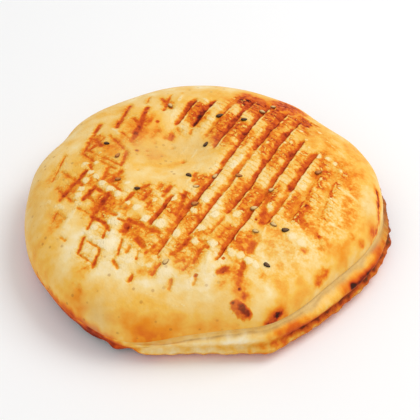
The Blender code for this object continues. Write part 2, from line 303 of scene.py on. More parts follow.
CELLS = pixel_rows(
    Cell,
    (76, 187, 7.5, 5.5, 0.3), (96, 140, 5.5, 3.5, 0.46), (111, 151, 5.0, 6.6, 0.2),
    (112, 178, 5.0, 6.0, 0.42), (92, 180, 4.0, 4.0, 0.4), (124, 205, 5.0, 5.0, 0.34),
    (155, 210, 5.0, 5.0, 0.36), (196, 230, 6.0, 8.0, 0.38), (133, 132, 7.0, 6.5, 0.3),
    (146, 120, 6.0, 2.6, 0.34), (168, 103, 3.0, 4.0, 0.42), (196, 112, 7.0, 7.0, 0.5),
    (104, 204, 7.5, 6.5, 0.44), (92, 213, 4.5, 5.0, 0.26), (146, 195, 4.5, 8.0, 0.38),
    (163, 187, 3.0, 3.5, 0.34), (138, 231, 6.5, 8.0, 0.44), (144, 245, 5.0, 7.0, 0.34),
    (167, 233, 6.0, 5.0, 0.3), (99, 231, 3.5, 4.0, 0.26), (184, 208, 9.0, 9.0, 0.46),
    (205, 180, 4.0, 5.0, 0.46), (186, 254, 8.0, 8.0, 0.46), (226, 126, 11.0, 8.0, 0.48),
    (262, 108, 8.0, 16.0, 0.54), (288, 108, 7.0, 9.0, 0.5), (302, 120, 4.0, 6.0, 0.54),
    (242, 135, 9.0, 6.0, 0.38), (272, 145, 13.0, 12.0, 0.36), (243, 198, 12.0, 8.0, 0.43),
    (268, 196, 10.0, 4.0, 0.44), (232, 241, 7.5, 9.0, 0.4), (250, 240, 6.0, 4.0, 0.42),
    (298, 206, 7.0, 6.0, 0.4), (325, 180, 8.0, 7.0, 0.38), (302, 160, 9.0, 4.0, 0.3),
    (91, 256, 7.5, 4.0, 0.28), (55, 224, 5.0, 3.0, 0.24), (52, 178, 6.0, 3.0, 0.26),
)

# Broad browning, some of it painted shade, paler where negative: column, row, half widths in mm, what it adds

PATCHES = pixel_rows(
    Patch,
    (280, 103, 20, 9, 0.2), (262, 150, 22, 26, 0.08), (222, 103, 16, 8, 0.12), (300, 128, 12, 10, 0.12),
    (285, 222, 14, 12, 0.14), (330, 150, 12, 10, 0.08), (358, 178, 8, 14, 0.12), (160, 158, 11, 8, 0.1),
    (175, 166, 8, 5, 0.11), (77, 288, 3.0, 4.0, 0.07), (355, 150, 10, 10, 0.11), (68, 262, 10, 14, -0.05),
    # The patches at (46, 275) and (37, 232) are painted shade that darkens the left rim.
    (168, 277, 28, 8, -0.12), (46, 275, 7, 14, 0.09), (37, 232, 6, 18, 0.08), (205, 300, 14, 7, -0.06),
    (75, 230, 8, 8, -0.06), (112, 240, 10, 10, -0.05), (320, 238, 12, 12, -0.06), (140, 158, 9, 7, 0.07),
    (290, 262, 16, 12, 0.07), (352, 205, 8, 16, 0.06), (80, 308, 12, 8, 0.14), (120, 110, 12, 10, 0.08),
    # The patches at (140, 330) and (150, 338) are partly browning and partly painted shade below the front
    # edge.
    (200, 92, 20, 4, 0.06), (150, 305, 24, 8, 0.08), (140, 330, 26, 7, 0.18), (150, 338, 7, 5, 0.16),
    (96, 319, 6, 9, -0.13), (70, 300, 6, 7, 0.06), (210, 332, 16, 6, 0.12), (235, 290, 6, 6, 0.16),
    (276, 316, 5, 4, 0.12), (265, 274, 12, 10, 0.06), (283, 287, 3, 8, 0.14), (299, 302, 4, 7, 0.14),
    (70, 184, 11, 15, 0.16), (106, 148, 13, 11, 0.16), (143, 124, 12, 9, 0.2), (100, 205, 13, 13, 0.08),
    (55, 220, 5, 8, 0.1), (318, 215, 12, 16, 0.12), (345, 215, 12, 16, 0.09), (340, 165, 12, 14, 0.12),
    (320, 132, 10, 8, 0.1), (343, 259, 3, 5, 0.2), (333, 247, 5, 4, 0.16), (372, 228, 3, 7, 0.16),
    (303, 262, 10, 9, -0.06), (368, 205, 3, 8, -0.12), (258, 298, 7, 7, -0.09), (215, 150, 6, 6, 0.07),
    (250, 150, 7, 7, -0.09), (172, 152, 9, 8, 0.04), (180, 100, 8, 6, 0.06), (75, 203, 6, 6, -0.05),
    (110, 300, 10, 8, 0.04), (182, 300, 10, 8, 0.05), (120, 255, 14, 10, -0.06),
)

# Dull beige places: column, row, half widths in mm, strength

BEIGES = pixel_rows(
    Patch,
    (147, 150, 10, 9, 0.5), (180, 148, 9, 8, 0.4), (205, 146, 6, 6, 0.3), (38, 210, 6, 14, 0.4),
    (75, 125, 9, 8, 0.3), (285, 250, 10, 8, 0.3), (97, 316, 6, 9, 0.6), (212, 300, 12, 8, 0.3),
    (180, 276, 12, 7, 0.25), (368, 207, 4, 7, 0.4),
)

# Raised cream blobs: column, row, radius in mm, strength where it isn't the usual one

CREAMS = pixel_rows(
    Spot,
    (85.6, 180, 2.0), (81, 188, 1.9), (77.8, 194.4, 2.1), (90.6, 171.7, 1.6), (96, 176, 1.7),
    (83.3, 164.4, 2.6, 0.72), (96, 162, 1.6, 0.8), (99.4, 152, 1.5, 0.75), (103, 182, 1.9), (110, 188, 2.1),
    (118, 193, 1.8), (128, 202, 1.4), (137.3, 207, 1.9), (117.8, 214, 1.5), (114, 221, 2.9),
    (146.5, 217.5, 2.0), (128, 182, 1.5, 0.75), (110, 232, 2.0), (103, 243, 2.4), (94, 227, 1.8),
    (161, 223.5, 2.7), (173, 196, 2.3), (154, 199, 1.6), (176, 232.5, 2.3), (195, 240, 1.9),
    (194, 210, 1.7), (202, 226.5, 2.0), (212.5, 242.5, 2.2), (209.5, 257.5, 2.3, 0.8),
    (213, 266, 2.3, 0.75), (232, 252.5, 2.2), (240, 255, 1.8), (248, 260.5, 1.9), (256, 265, 1.7),
    (237.5, 213.5, 2.2), (216, 214, 1.6), (131, 260, 2.4, 0.75), (141, 262.5, 1.9, 0.75),
    (149, 265.5, 2.2, 0.75), (160, 271, 2.4, 0.75), (292, 236, 2.0), (302, 243, 2.2), (268, 205, 1.8),
    (236, 165, 2.6), (243, 158, 2.2), (318.6, 156, 1.9, 0.84), (328.5, 158.5, 2.1, 0.74),
    (334, 163.5, 1.8, 0.72), (206, 199, 1.7), (285, 141.7, 1.2, 0.78), (291, 141.3, 1.1, 0.78),
    (281.5, 160, 2.2, 0.74), (267, 142, 1.6, 0.7), (266, 132, 1.5, 0.7), (295, 120, 1.3, 0.75),
    (301, 131, 1.1, 0.75), (306.5, 140, 1.1, 0.78), (340, 171, 1.6, 0.85), (303, 143, 0.9, 0.8),
    (309, 147, 1.0, 0.8),
)

# Soft browned blots: column, row, radius in mm, what they add

BLOTS = pixel_rows(
    Spot,
    (271, 322, 2.6, 0.46), (279, 316, 2.8, 0.5), (318, 284, 1.6, 0.4), (321, 278, 2.2, 0.42),
    (326, 272.5, 2.0, 0.38), (362, 245, 1.6, 0.36), (373, 234, 2.2, 0.36), (84, 270, 3.8, 0.08),
    (303, 250, 1.4, 0.26), (240, 285, 2.4, 0.36), (232, 272, 3.0, 0.36), (222, 282, 2.2, 0.3),
    (245, 297, 2.0, 0.36), (352, 238, 1.4, 0.3), (150, 268, 2.6, 0.34), (141, 272, 2.0, 0.3),
    (262, 276, 1.2, 0.34),
)

# Burnt spots: column, row, radius in mm, how burnt

CHARS = pixel_rows(
    Spot,
    (232.5, 304.5, 0.8, 0.88), (136.7, 150, 0.8, 0.84), (239.5, 289, 0.9, 0.98), (276.5, 314, 1.0, 0.98),
    (256, 219, 0.55, 0.95), (331, 196, 0.5, 0.9), (85, 324, 0.7, 0.9), (222.5, 271, 0.9, 0.78),
    (223.5, 258, 0.8, 0.74), (196, 274, 0.8, 0.78), (157.5, 121, 0.9, 0.76), (173, 135, 0.8, 0.7),
    (319, 236, 0.9, 0.76), (350, 189, 0.6, 0.58), (183, 92.5, 0.6, 0.6),
)

# Pressed pinholes: column, row, radius in mm, share of the full depth

PINHOLES = pixel_rows(
    Spot,
    (183, 161, 1.25, 1.0), (172.5, 147, 1.0, 0.7), (164.5, 137, 1.1, 0.6), (155, 142, 0.8, 0.6),
    (147, 150, 0.7, 0.7), (148, 154.5, 0.7, 0.6), (157, 125, 0.8, 0.4), (138, 169, 0.8, 0.5),
    (195, 167, 0.6, 0.4),
)

# Seeds: column, row and heading in degrees

DARK_SEEDS = (
    (205.7, 144.2, 58), (189, 175, -52), (137.3, 188, -4), (285.5, 229.9, 12),
    (267, 265, -30), (244, 119.3, 5), (219.8, 114.4, 20), (106.7, 143.1, -25),
)
PALE_SEEDS = (
    (273.7, 224.4, -32), (262.5, 110, -35), (273.3, 107, 5), (215.3, 173.8, 50),
    (196, 185.9, 8), (271.4, 189.7, 35), (254.2, 206.3, 20), (255.7, 230.9, -15),
    (165.8, 261.5, 45), (170.5, 104.9, -60),
)
TOASTED_SEEDS = (
    (238.9, 175.4, -10), (318.6, 171.6, 30), (118, 178.9, 0), (195, 203.5, 15), (117.6, 155.2, 60),
)


@dataclass(frozen=True)
class Marks:
    """What the grill left at each place of the crust, as one array for each kind.

    press is in metres, toast is what the patches add to the browning, some of it painted shade,
    and mark_toast is the browning of the strongest mark. The others are strengths from 0 to about
    1. The edge is partly painted shade, and the ridge highlight is painted.
    """

    press: Array
    toast: Array
    glow: Array
    zone: Array
    cell: Array
    pale: Array
    mark: Array
    mark_toast: Array
    edge: Array
    bright: Array
    cream: Array
    char: Array
    blot: Array
    beige: Array


@dataclass(frozen=True)
class BreadForm:
    """The form of the bread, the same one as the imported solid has.

    Bearings are in degrees from +X towards +Y. A bump has a bearing, a width and a reach, and
    the fold's corner and its front have a bearing and a width. Each of the fold's two ends has
    the bearing where it starts to show and the one where it is full.
    """

    radius: float = 79.45 * MM
    lobes: int = 3
    lobe_shares: Pair = (0.013, 0.008)
    height: float = 38.0 * MM
    dome_power: float = 2.5
    widest_height: float = 12.0 * MM
    box_middle: Place = (2.12 * MM, 2.28 * MM)
    fold_from: Pair = (-122.0, -96.0)
    fold_to: Pair = (52.0, 22.0)
    fold_inset: float = 3.4 * MM
    fold_inset_corner: float = 3.0 * MM
    fold_corner: Pair = (-35.0, 26.0)
    fold_lift: float = 4.0 * MM
    fold_front_drop: float = 4.0 * MM
    fold_front: Pair = (-108.0, 16.0)
    dip_place: Place = (-12.0 * MM, 21.0 * MM)
    dip_half: Pair = (16.0 * MM, 20.0 * MM)
    dip_depth: float = 6.0 * MM
    dip_power: float = 2.4
    furrow_heading: float = 60.0
    furrow_width: float = 3.4 * MM
    furrow_wall: float = 1.1 * MM
    outline_bumps: tuple[Triple, ...] = (
        (-88.0, 20.0, -3.0 * MM), (-42.0, 18.0, -3.4 * MM), (2.0, 16.0, 1.6 * MM), (24.0, 10.0, 1.2 * MM),
        (37.0, 7.0, -1.4 * MM), (46.0, 7.0, -1.8 * MM), (64.0, 9.0, -0.7 * MM), (118.0, 13.0, -1.7 * MM),
        (149.0, 7.0, -1.9 * MM), (14.0, 6.0, 0.8 * MM), (165.0, 7.0, 0.8 * MM), (-70.0, 8.0, 0.8 * MM),
        (-146.0, 8.0, -0.8 * MM),
    )
    lower_bumps: tuple[Triple, ...] = (
        (-70.0, 5.0, 2.0 * MM), (-82.0, 3.5, 1.0 * MM), (-92.0, 12.0, -1.2 * MM), (-108.0, 4.0, 1.9 * MM),
        (-117.0, 2.5, 2.6 * MM), (-120.0, 5.0, 1.2 * MM), (-127.0, 5.0, 1.8 * MM), (-136.0, 4.0, 0.8 * MM),
        (-8.0, 5.0, 0.8 * MM),
    )
    crag_depth: float = 0.32 * MM
    crag_counts: tuple[int, ...] = (31, 53, 74)
    crag_shares: Triple = (0.45, 1.1, 0.8)
    crag_noise: tuple[Ripple, Ripple] = (Ripple(4.5 * MM, 14.2), Ripple(2.0 * MM, 5.8))
    crag_least: float = 0.25

    def outline(self, bearing: Array) -> Array:
        """Find the radius of the widest line.

        Args:
            bearing: Bearings in radians.

        Returns:
            The radius at each.
        """
        cosine, sine = self.lobe_shares
        turn = self.lobes * bearing
        radius = self.radius * (1.0 + cosine * np.cos(turn) - sine * np.sin(turn))
        for centre, width, reach in self.outline_bumps:
            radius = radius + reach * bearing_bump(bearing, centre, width)
        return radius

    def fold_share(self, bearing: Array) -> Array:
        """How much the fold shows: 0 on the plain side, 1 on the folded side."""
        degrees = wrap(np.degrees(bearing))
        return smooth_step(degrees, *self.fold_from) * smooth_step(degrees, *self.fold_to)

    def dome_edge(self, bearing: Array) -> tuple[Array, Array]:
        """Find the dome's lower edge, which is the fold where one shows.

        Args:
            bearing: Bearings in radians.

        Returns:
            The edge's radius and its height.
        """
        share = self.fold_share(bearing)
        inset = self.fold_inset + self.fold_inset_corner * bearing_bump(bearing, *self.fold_corner)
        drop = self.fold_front_drop * bearing_bump(bearing, *self.fold_front)
        height = self.widest_height + share * self.fold_lift - drop
        return self.outline(bearing) - share * inset, height

    def dome_height(self, x: Array, y: Array) -> Array:
        """Find the height of the smooth top with its dip.

        Args:
            x: Places to the right, inside the dome's edge.
            y: Places behind.

        Returns:
            The heights.
        """
        edge_radius, edge_height = self.dome_edge(np.arctan2(y, x))
        share = np.minimum(np.hypot(x, y) / edge_radius, 1.0)
        fall = (1.0 - share ** self.dome_power) ** (1.0 / self.dome_power)
        return edge_height + (self.height - edge_height) * fall - self.dip_depth * self.dip(x, y)

    def dip(self, x: Array, y: Array) -> Array:
        """Find how deep in the dip a place is.

        Args:
            x: Places to the right.
            y: Places behind.

        Returns:
            1 at its middle and 0 well outside it.
        """
        away_x = (x - self.dip_place[0]) / self.dip_half[0]
        away_y = (y - self.dip_place[1]) / self.dip_half[1]
        return np.exp(-(np.hypot(away_x, away_y) ** self.dip_power))

    def lower_reach(self, bearing: Array, share: Array) -> Array:
        """Find the uneven reach of the lower crust, which is rougher where the fold shows.

        Args:
            bearing: Bearings in radians.
            share: How much the fold shows at each.

        Returns:
            How far it reaches past the outline.
        """
        around = stand(self.radius, bearing, np.zeros_like(bearing))
        waves = sum(np.sin(count * bearing + count) for count in self.crag_counts)
        wave_share, broad_share, fine_share = self.crag_shares
        broad, fine = self.crag_noise
        waves = wave_share * waves + broad_share * broad.read(around) + fine_share * fine.read(around)
        bumps = sum(reach * bearing_bump(bearing, centre, width) for centre, width, reach in self.lower_bumps)
        return bumps + self.crag_depth * waves * np.maximum(share, self.crag_least)

    def to_rows(self, x: Array, y: Array) -> tuple[Array, Array]:
        """Turn places into distances from the outline's middle by the furrows' heading.

        Args:
            x: Places to the right.
            y: Places behind.

        Returns:
            Distances along the heading and across it.
        """
        heading = math.radians(self.furrow_heading)
        cosine, sine = math.cos(heading), math.sin(heading)
        return x * cosine + y * sine, x * sine - y * cosine

    def slope_turn(self, x: float, y: float, heading: float) -> Matrix:
        """Turn that lays a thing on the top.

        Args:
            x: Place to the right of the outline's middle.
            y: Place behind it.
            heading: Degrees from +X towards +Y that the thing points.

        Returns:
            A rotation that stands +Z square to the surface.
        """
        step = 1.0 * MM
        slope_x = float(self.dome_height(x + step, y) - self.dome_height(x - step, y)) / (2 * step)
        slope_y = float(self.dome_height(x, y + step) - self.dome_height(x, y - step)) / (2 * step)
        normal = Vector((-slope_x, -slope_y, 1.0)).normalized()
        lean = Vector((0.0, 0.0, 1.0)).rotation_difference(normal).to_matrix().to_4x4()
        return lean @ Matrix.Rotation(math.radians(heading), 4, "Z")


@dataclass(frozen=True)
class PhotoView:
    """The photograph's camera, and the way from its pixels to the bread."""

    height_angle: float = 43.5
    distance: float = 650.0 * MM
    lens: float = 127.0
    sensor: float = 36.0
    image_size: float = 420.0
    target: Triple = (2.45 * MM, 0.0, 14.55 * MM)
    search: Pair = (0.8, 1.2)
    search_steps: int = 4000

    def axes(self) -> tuple[Array, Array, Array]:
        """Find the picture's own directions.

        Returns:
            The directions right, up and back from the picture.
        """
        tilt = math.radians(self.height_angle)
        right = np.array([1.0, 0.0, 0.0])
        up = np.array([0.0, math.sin(tilt), math.cos(tilt)])
        back = np.array([0.0, -math.cos(tilt), math.sin(tilt)])
        return right, up, back

    def eye(self) -> Array:
        """Return the camera's place, counted from the outline's middle."""
        return np.array(self.target) + self.axes()[2] * self.distance

    def land(self, form: BreadForm, pixel: Pixel) -> Place:
        """Follow a pixel's ray to the bread's top.

        Args:
            form: The bread.
            pixel: Columns from the left and rows from the top of the photograph.

        Returns:
            The place where the ray meets the top.
        """
        right, up, back = self.axes()
        scale = self.lens / self.sensor * self.image_size
        middle = self.image_size / 2
        ray = right * (pixel[0] - middle) / scale + up * (middle - pixel[1]) / scale - back
        near, far = self.search
        steps = np.linspace(self.distance * near, self.distance * far, self.search_steps)
        points = self.eye() + ray * steps[:, None]
        x, y = points[:, 0], points[:, 1]
        edge_radius, _ = form.dome_edge(np.arctan2(y, x))
        inside = (np.hypot(x, y) < edge_radius) & (points[:, 2] <= form.dome_height(x, y))
        first = int(np.argmax(inside))
        return float(x[first]), float(y[first])

    def make_camera(self, form: BreadForm) -> None:
        """Put the camera in the scene, aimed at the bread.

        Args:
            form: The bread.
        """
        right, up, back = (Vector(axis) for axis in self.axes())
        data = bpy.data.cameras.new("camera")
        data.lens = self.lens
        data.sensor_width = self.sensor
        camera = bpy.data.objects.new("camera", data)
        bpy.context.scene.collection.objects.link(camera)
        turn = Matrix((right, up, back)).transposed().to_4x4()
        middle = Vector((*form.box_middle, 0.0))
        camera.matrix_world = Matrix.Translation(Vector(self.eye()) - middle) @ turn
        bpy.context.scene.camera = camera


@dataclass
class Grill:
    """Everything that the hot grid left on the top.

    A furrow has a browned band along its bottom, a dark edge on its steep side that is partly
    browning and partly painted shade, and past that a painted highlight along the ridge. The edge
    and the highlight have a middle and a half width across the furrow. How far the ends of a
    stretch fade out and in, and how far a stroke's glow goes past it, are in mm. Some of the
    patches and pale strokes also carry painted shade and painted highlights.
    """

    form: BreadForm
    view: PhotoView
    along_places: Triple = (-60.0 * MM, 0.0, 60.0 * MM)
    streak_size: Pair = (7.0 * MM, 1.5 * MM)
    streak_noise: Ripple = Ripple(1.0, 40.3)
    streak_share: float = 0.8
    bend: float = 0.45 * MM
    bend_stretch: Triple = (1.0, 0.15, 1.0)
    bend_noise: Ripple = Ripple(1.0, 17.9)
    band_half: Pair = (1.55 * MM, 0.8 * MM)
    edge_place: Pair = (0.75 * MM, 0.5 * MM)
    edge_gain: float = 1.3
    highlight_place: Pair = (1.6 * MM, 0.45 * MM)
    glow_reach: float = 1.6 * MM
    zone_reach: float = 4.2 * MM
    fade_out: float = 3.0
    fade_in: float = 2.0
    line_fall: Pair = (1.0, 0.5)
    stroke_press: float = 0.5 * MM
    stroke_glow: float = 1.5
    stroke_zone: float = 0.6
    stroke_reach: float = 3.2 * MM
    cross_heading: float = -46.0
    cell_power: int = 4
    cell_fade: Pair = (0.6, 1.4)
    cream_fall: Pair = (1.05, 0.5)
    blot_fall: float = 0.8
    char_fall: Pair = (1.4, 0.7)
    char_glow: float = 0.5
    char_spread: float = 0.5

    def __post_init__(self) -> None:
        """Lay every mark that was read off the photograph on the bread."""
        self.strokes, self.pales = self.lay_lines(STROKES), self.lay_lines(PALES)
        self.cells, self.patches, self.beiges = self.lay(CELLS), self.lay(PATCHES), self.lay(BEIGES)
        self.creams, self.blots = self.lay(CREAMS), self.lay(BLOTS)
        self.chars, self.pinholes = self.lay(CHARS), self.lay(PINHOLES)

    def land(self, pixel: Pixel) -> Place:
        """Find a pixel's place on the bread."""
        return self.view.land(self.form, pixel)

    def lay(self, things: tuple) -> list[tuple[Cell | Patch | Spot, Place]]:
        """Pair each thing with the place of its centre on the bread."""
        return [(thing, self.land(thing.centre)) for thing in things]

    def lay_lines(self, lines: tuple[Stroke, ...]) -> list[tuple[Stroke, Place, Place]]:
        """Pair each line with the places of its two ends on the bread."""
        return [(line, self.land(line.start), self.land(line.end)) for line in lines]

    def read(self, x: Array, y: Array) -> Marks:
        """Work out every mark at places.

        Args:
            x: Places to the right.
            y: Places behind.

        Returns:
            The marks.
        """
        marks = Marks(*(np.zeros_like(x) for _ in fields(Marks)))
        points = (x, y, self.form.dome_height(x, y))
        self.add_furrows(x, y, marks)
        self.add_strokes(points, marks)
        self.add_patches(points, self.patches, marks.toast)
        self.add_patches(points, self.beiges, marks.beige)
        for line, start, end in self.pales:
            raise_to(marks.pale, line.toast * bell(self.line_gap(points, start, end) / (line.half * MM)))
        self.add_cells(x, y, marks)
        for spot, away in self.near(points, self.creams):
            raise_to(marks.cream, spot.toast * fall_off(away, *self.cream_fall))
        for spot, away in self.near(points, self.blots):
            raise_to(marks.blot, spot.toast * bell(self.blot_fall * away))
        for spot, away in self.near(points, self.chars):
            raise_to(marks.char, spot.toast * fall_off(away, *self.char_fall))
            raise_to(marks.glow, self.char_glow * bell(self.char_spread * away))
        return marks

    def near(self, points: Points, spots: list[tuple[Spot, Place]]) -> Iterator[tuple[Spot, Array]]:
        """Go through spots with the distance from each through space, counted in its radius.

        Args:
            points: Places on the top.
            spots: The spots with their places.

        Yields:
            A spot and the distances from it.
        """
        x, y, z = points
        for spot, middle in spots:
            square = (x - middle[0]) ** 2 + (y - middle[1]) ** 2 + (z - self.form.dome_height(*middle)) ** 2
            yield spot, np.sqrt(square) / (spot.radius * MM)

    def line_gap(self, points: Points, start: Place, end: Place) -> Array:
        """Measure the distance through space from the line between two places on the top.

        Args:
            points: Places on the top.
            start: One end of the line.
            end: Its other end.

        Returns:
            The distances.
        """
        x, y, z = points
        way = np.array([end[0] - start[0], end[1] - start[1]])
        share = ((x - start[0]) * way[0] + (y - start[1]) * way[1]) / (way @ way)
        share = np.clip(share, 0.0, 1.0)
        low, high = self.form.dome_height(*start), self.form.dome_height(*end)
        away = np.hypot(x - start[0] - share * way[0], y - start[1] - share * way[1])
        return np.hypot(away, z - low - share * (high - low))

    def add_furrows(self, x: Array, y: Array, marks: Marks) -> None:
        """Add the long furrows.

        Args:
            x: Places to the right.
            y: Places behind.
            marks: What is added to.
        """
        along, across = self.form.to_rows(x, y)
        length, width = self.streak_size
        rows = np.stack([along / length, across / width, np.zeros_like(x)], axis=1)
        streaks = self.streak_noise.read(rows)
        bends = self.bend_noise.read(rows * self.bend_stretch)
        for furrow in FURROWS:
            beside = across - np.interp(along, self.along_places, np.array(furrow.places) * MM)
            self.add_furrow(furrow, along, beside + self.bend * bends, streaks, marks)

    def add_furrow(self, furrow: Furrow, along: Array, beside: Array, streaks: Array, marks: Marks) -> None:
        """Add one furrow.

        Args:
            furrow: The furrow.
            along: Distances along the heading.
            beside: Distances across it from the furrow, above 0 on its steep side.
            streaks: Noise that makes the browned band wider and narrower.
            marks: What is added to.
        """
        side = np.where(beside > 0, self.form.furrow_wall, self.form.furrow_width)
        valley = fall_off(np.abs(beside) / side, 1.0, 1.0)
        gentle, steep = self.band_half
        half = np.where(beside > 0, steep, gentle) * (1.0 + self.streak_share * streaks)
        band = fall_off(np.abs(beside) / half, *self.line_fall)
        # The dark edge on the steep wall is partly painted shade; the line past it is a painted highlight.
        edge, bright = (
            fall_off(np.abs(beside - middle) / width, *self.line_fall)
            for middle, width in (self.edge_place, self.highlight_place)
        )
        zone, glow = bell(beside / self.zone_reach), bell(beside / self.glow_reach)
        for start, end, press, toast in furrow.stretches:
            ends = smooth_step(along, (start - self.fade_out) * MM, (start + self.fade_in) * MM)
            ends = ends * (1.0 - smooth_step(along, (end - self.fade_in) * MM, (end + self.fade_out) * MM))
            raise_to(marks.press, press * MM * valley * ends)
            self.brown(marks, band * ends, toast)
            raise_to(marks.edge, edge * ends * min(1.0, toast * self.edge_gain))
            raise_to(marks.bright, bright * ends)
            raise_to(marks.glow, glow * ends * toast)
            marks.zone[:] += zone * ends

    @staticmethod
    def brown(marks: Marks, band: Array, toast: float) -> None:
        """Add a browned band, whose toast holds wherever it is the strongest mark so far."""
        marks.mark_toast[band > marks.mark] = toast
        raise_to(marks.mark, band)

    def add_strokes(self, points: Points, marks: Marks) -> None:
        """Add the separate strokes.

        Args:
            points: Places on the top.
            marks: What is added to.
        """
        for stroke, start, end in self.strokes:
            away = self.line_gap(points, start, end)
            band = fall_off(away / (stroke.half * MM), *self.line_fall)
            self.brown(marks, band, stroke.toast)
            raise_to(marks.press, self.stroke_press * band)
            raise_to(marks.glow, stroke.toast * bell(away / ((stroke.half + self.stroke_glow) * MM)))
            marks.zone[:] += self.stroke_zone * bell(away / self.stroke_reach)

    def add_patches(self, points: Points, patches: list[tuple[Patch, Place]], total: Array) -> None:
        """Add soft patches.

        Args:
            points: Places on the top.
            patches: The patches with their places.
            total: What is added to.
        """
        x, y, z = points
        for patch, middle in patches:
            half_x, half_y = patch.half_x * MM, patch.half_y * MM
            down = (z - self.form.dome_height(*middle)) / half_y
            away = np.hypot((x - middle[0]) / half_x, (y - middle[1]) / half_y)
            total[:] += patch.toast * np.exp(-(away ** 2 + down ** 2))

    def add_cells(self, x: Array, y: Array, marks: Marks) -> None:
        """Add the browned cells, whose sides follow the grid's two directions.

        Args:
            x: Places to the right.
            y: Places behind.
            marks: What is added to.
        """
        first, second = math.radians(self.form.furrow_heading), math.radians(self.cross_heading)
        turn, power = math.sin(second - first), self.cell_power
        for cell, middle in self.cells:
            from_x, from_y = x - middle[0], y - middle[1]
            along = (from_x * math.sin(second) - from_y * math.cos(second)) / turn
            across = (from_y * math.cos(first) - from_x * math.sin(first)) / turn
            along, across = along / (cell.half_along * MM), across / (cell.half_across * MM)
            away = (along ** power + across ** power) ** (1 / power)
            raise_to(marks.cell, (1 - smooth_step(away, *self.cell_fade)) * cell.toast)

    def pinhole_field(self, x: Array, y: Array) -> Array:
        """Find how deep in a pinhole places are.

        Args:
            x: Places to the right.
            y: Places behind.

        Returns:
            Shares of the full depth.
        """
        depth = np.zeros_like(x)
        for spot, middle in self.pinholes:
            raise_to(depth, spot.toast * bell(np.hypot(x - middle[0], y - middle[1]) / (spot.radius * MM)))
        return depth


@dataclass(frozen=True)
class Scorch:
    """Toasting that climbs up from the underside.

    The height in mm that it climbs to, and its strength, are given at bearings in degrees.
    """

    line: tuple[Pair, ...] = (
        (-180.0, 13.0), (-165.0, 13.0), (-150.0, 14.0), (-135.0, 15.5), (-122.0, 14.5), (-112.0, 8.0),
        (-100.0, 3.0), (0.0, 2.0), (40.0, 6.0), (56.0, 19.0), (70.0, 12.0), (100.0, 10.0),
        (140.0, 11.0), (180.0, 13.0),
    )
    toast: tuple[Pair, ...] = (
        (-180.0, 0.34), (-160.0, 0.36), (-145.0, 0.5), (-118.0, 0.54), (-100.0, 0.1), (-80.0, 0.06),
        (30.0, 0.06), (56.0, 0.5), (75.0, 0.3), (140.0, 0.24), (180.0, 0.3),
    )
    below: float = 6.0 * MM
    above: float = 1.0 * MM

    def read(self, bearing: Array, height: Array, uneven: Array) -> Array:
        """Work out the toasting.

        Args:
            bearing: Bearings in radians.
            height: Heights above the table.
            uneven: How far the line that it climbs to wanders at each place.

        Returns:
            Toasting to add.
        """
        degrees = wrap(np.degrees(bearing))
        line = np.interp(degrees, *zip(*self.line)) * MM + uneven
        toast = np.interp(degrees, *zip(*self.toast))
        return toast * (1 - smooth_step(height, line - self.below, line + self.above))


@dataclass(frozen=True)
class TopPlaces:
    """The dome's vertices and what lies at each, as one array for each kind.

    out is the share of the way from the middle to the rim. broad and lumps are noise about 0.
    rim, zone and pit are shares: how near the rim, how near the furrows and how deep in a pinhole.
    """

    x: Array
    y: Array
    bearing: Array
    out: Array
    dome: Array
    broad: Array
    lumps: Array
    rim: Array
    zone: Array
    pit: Array


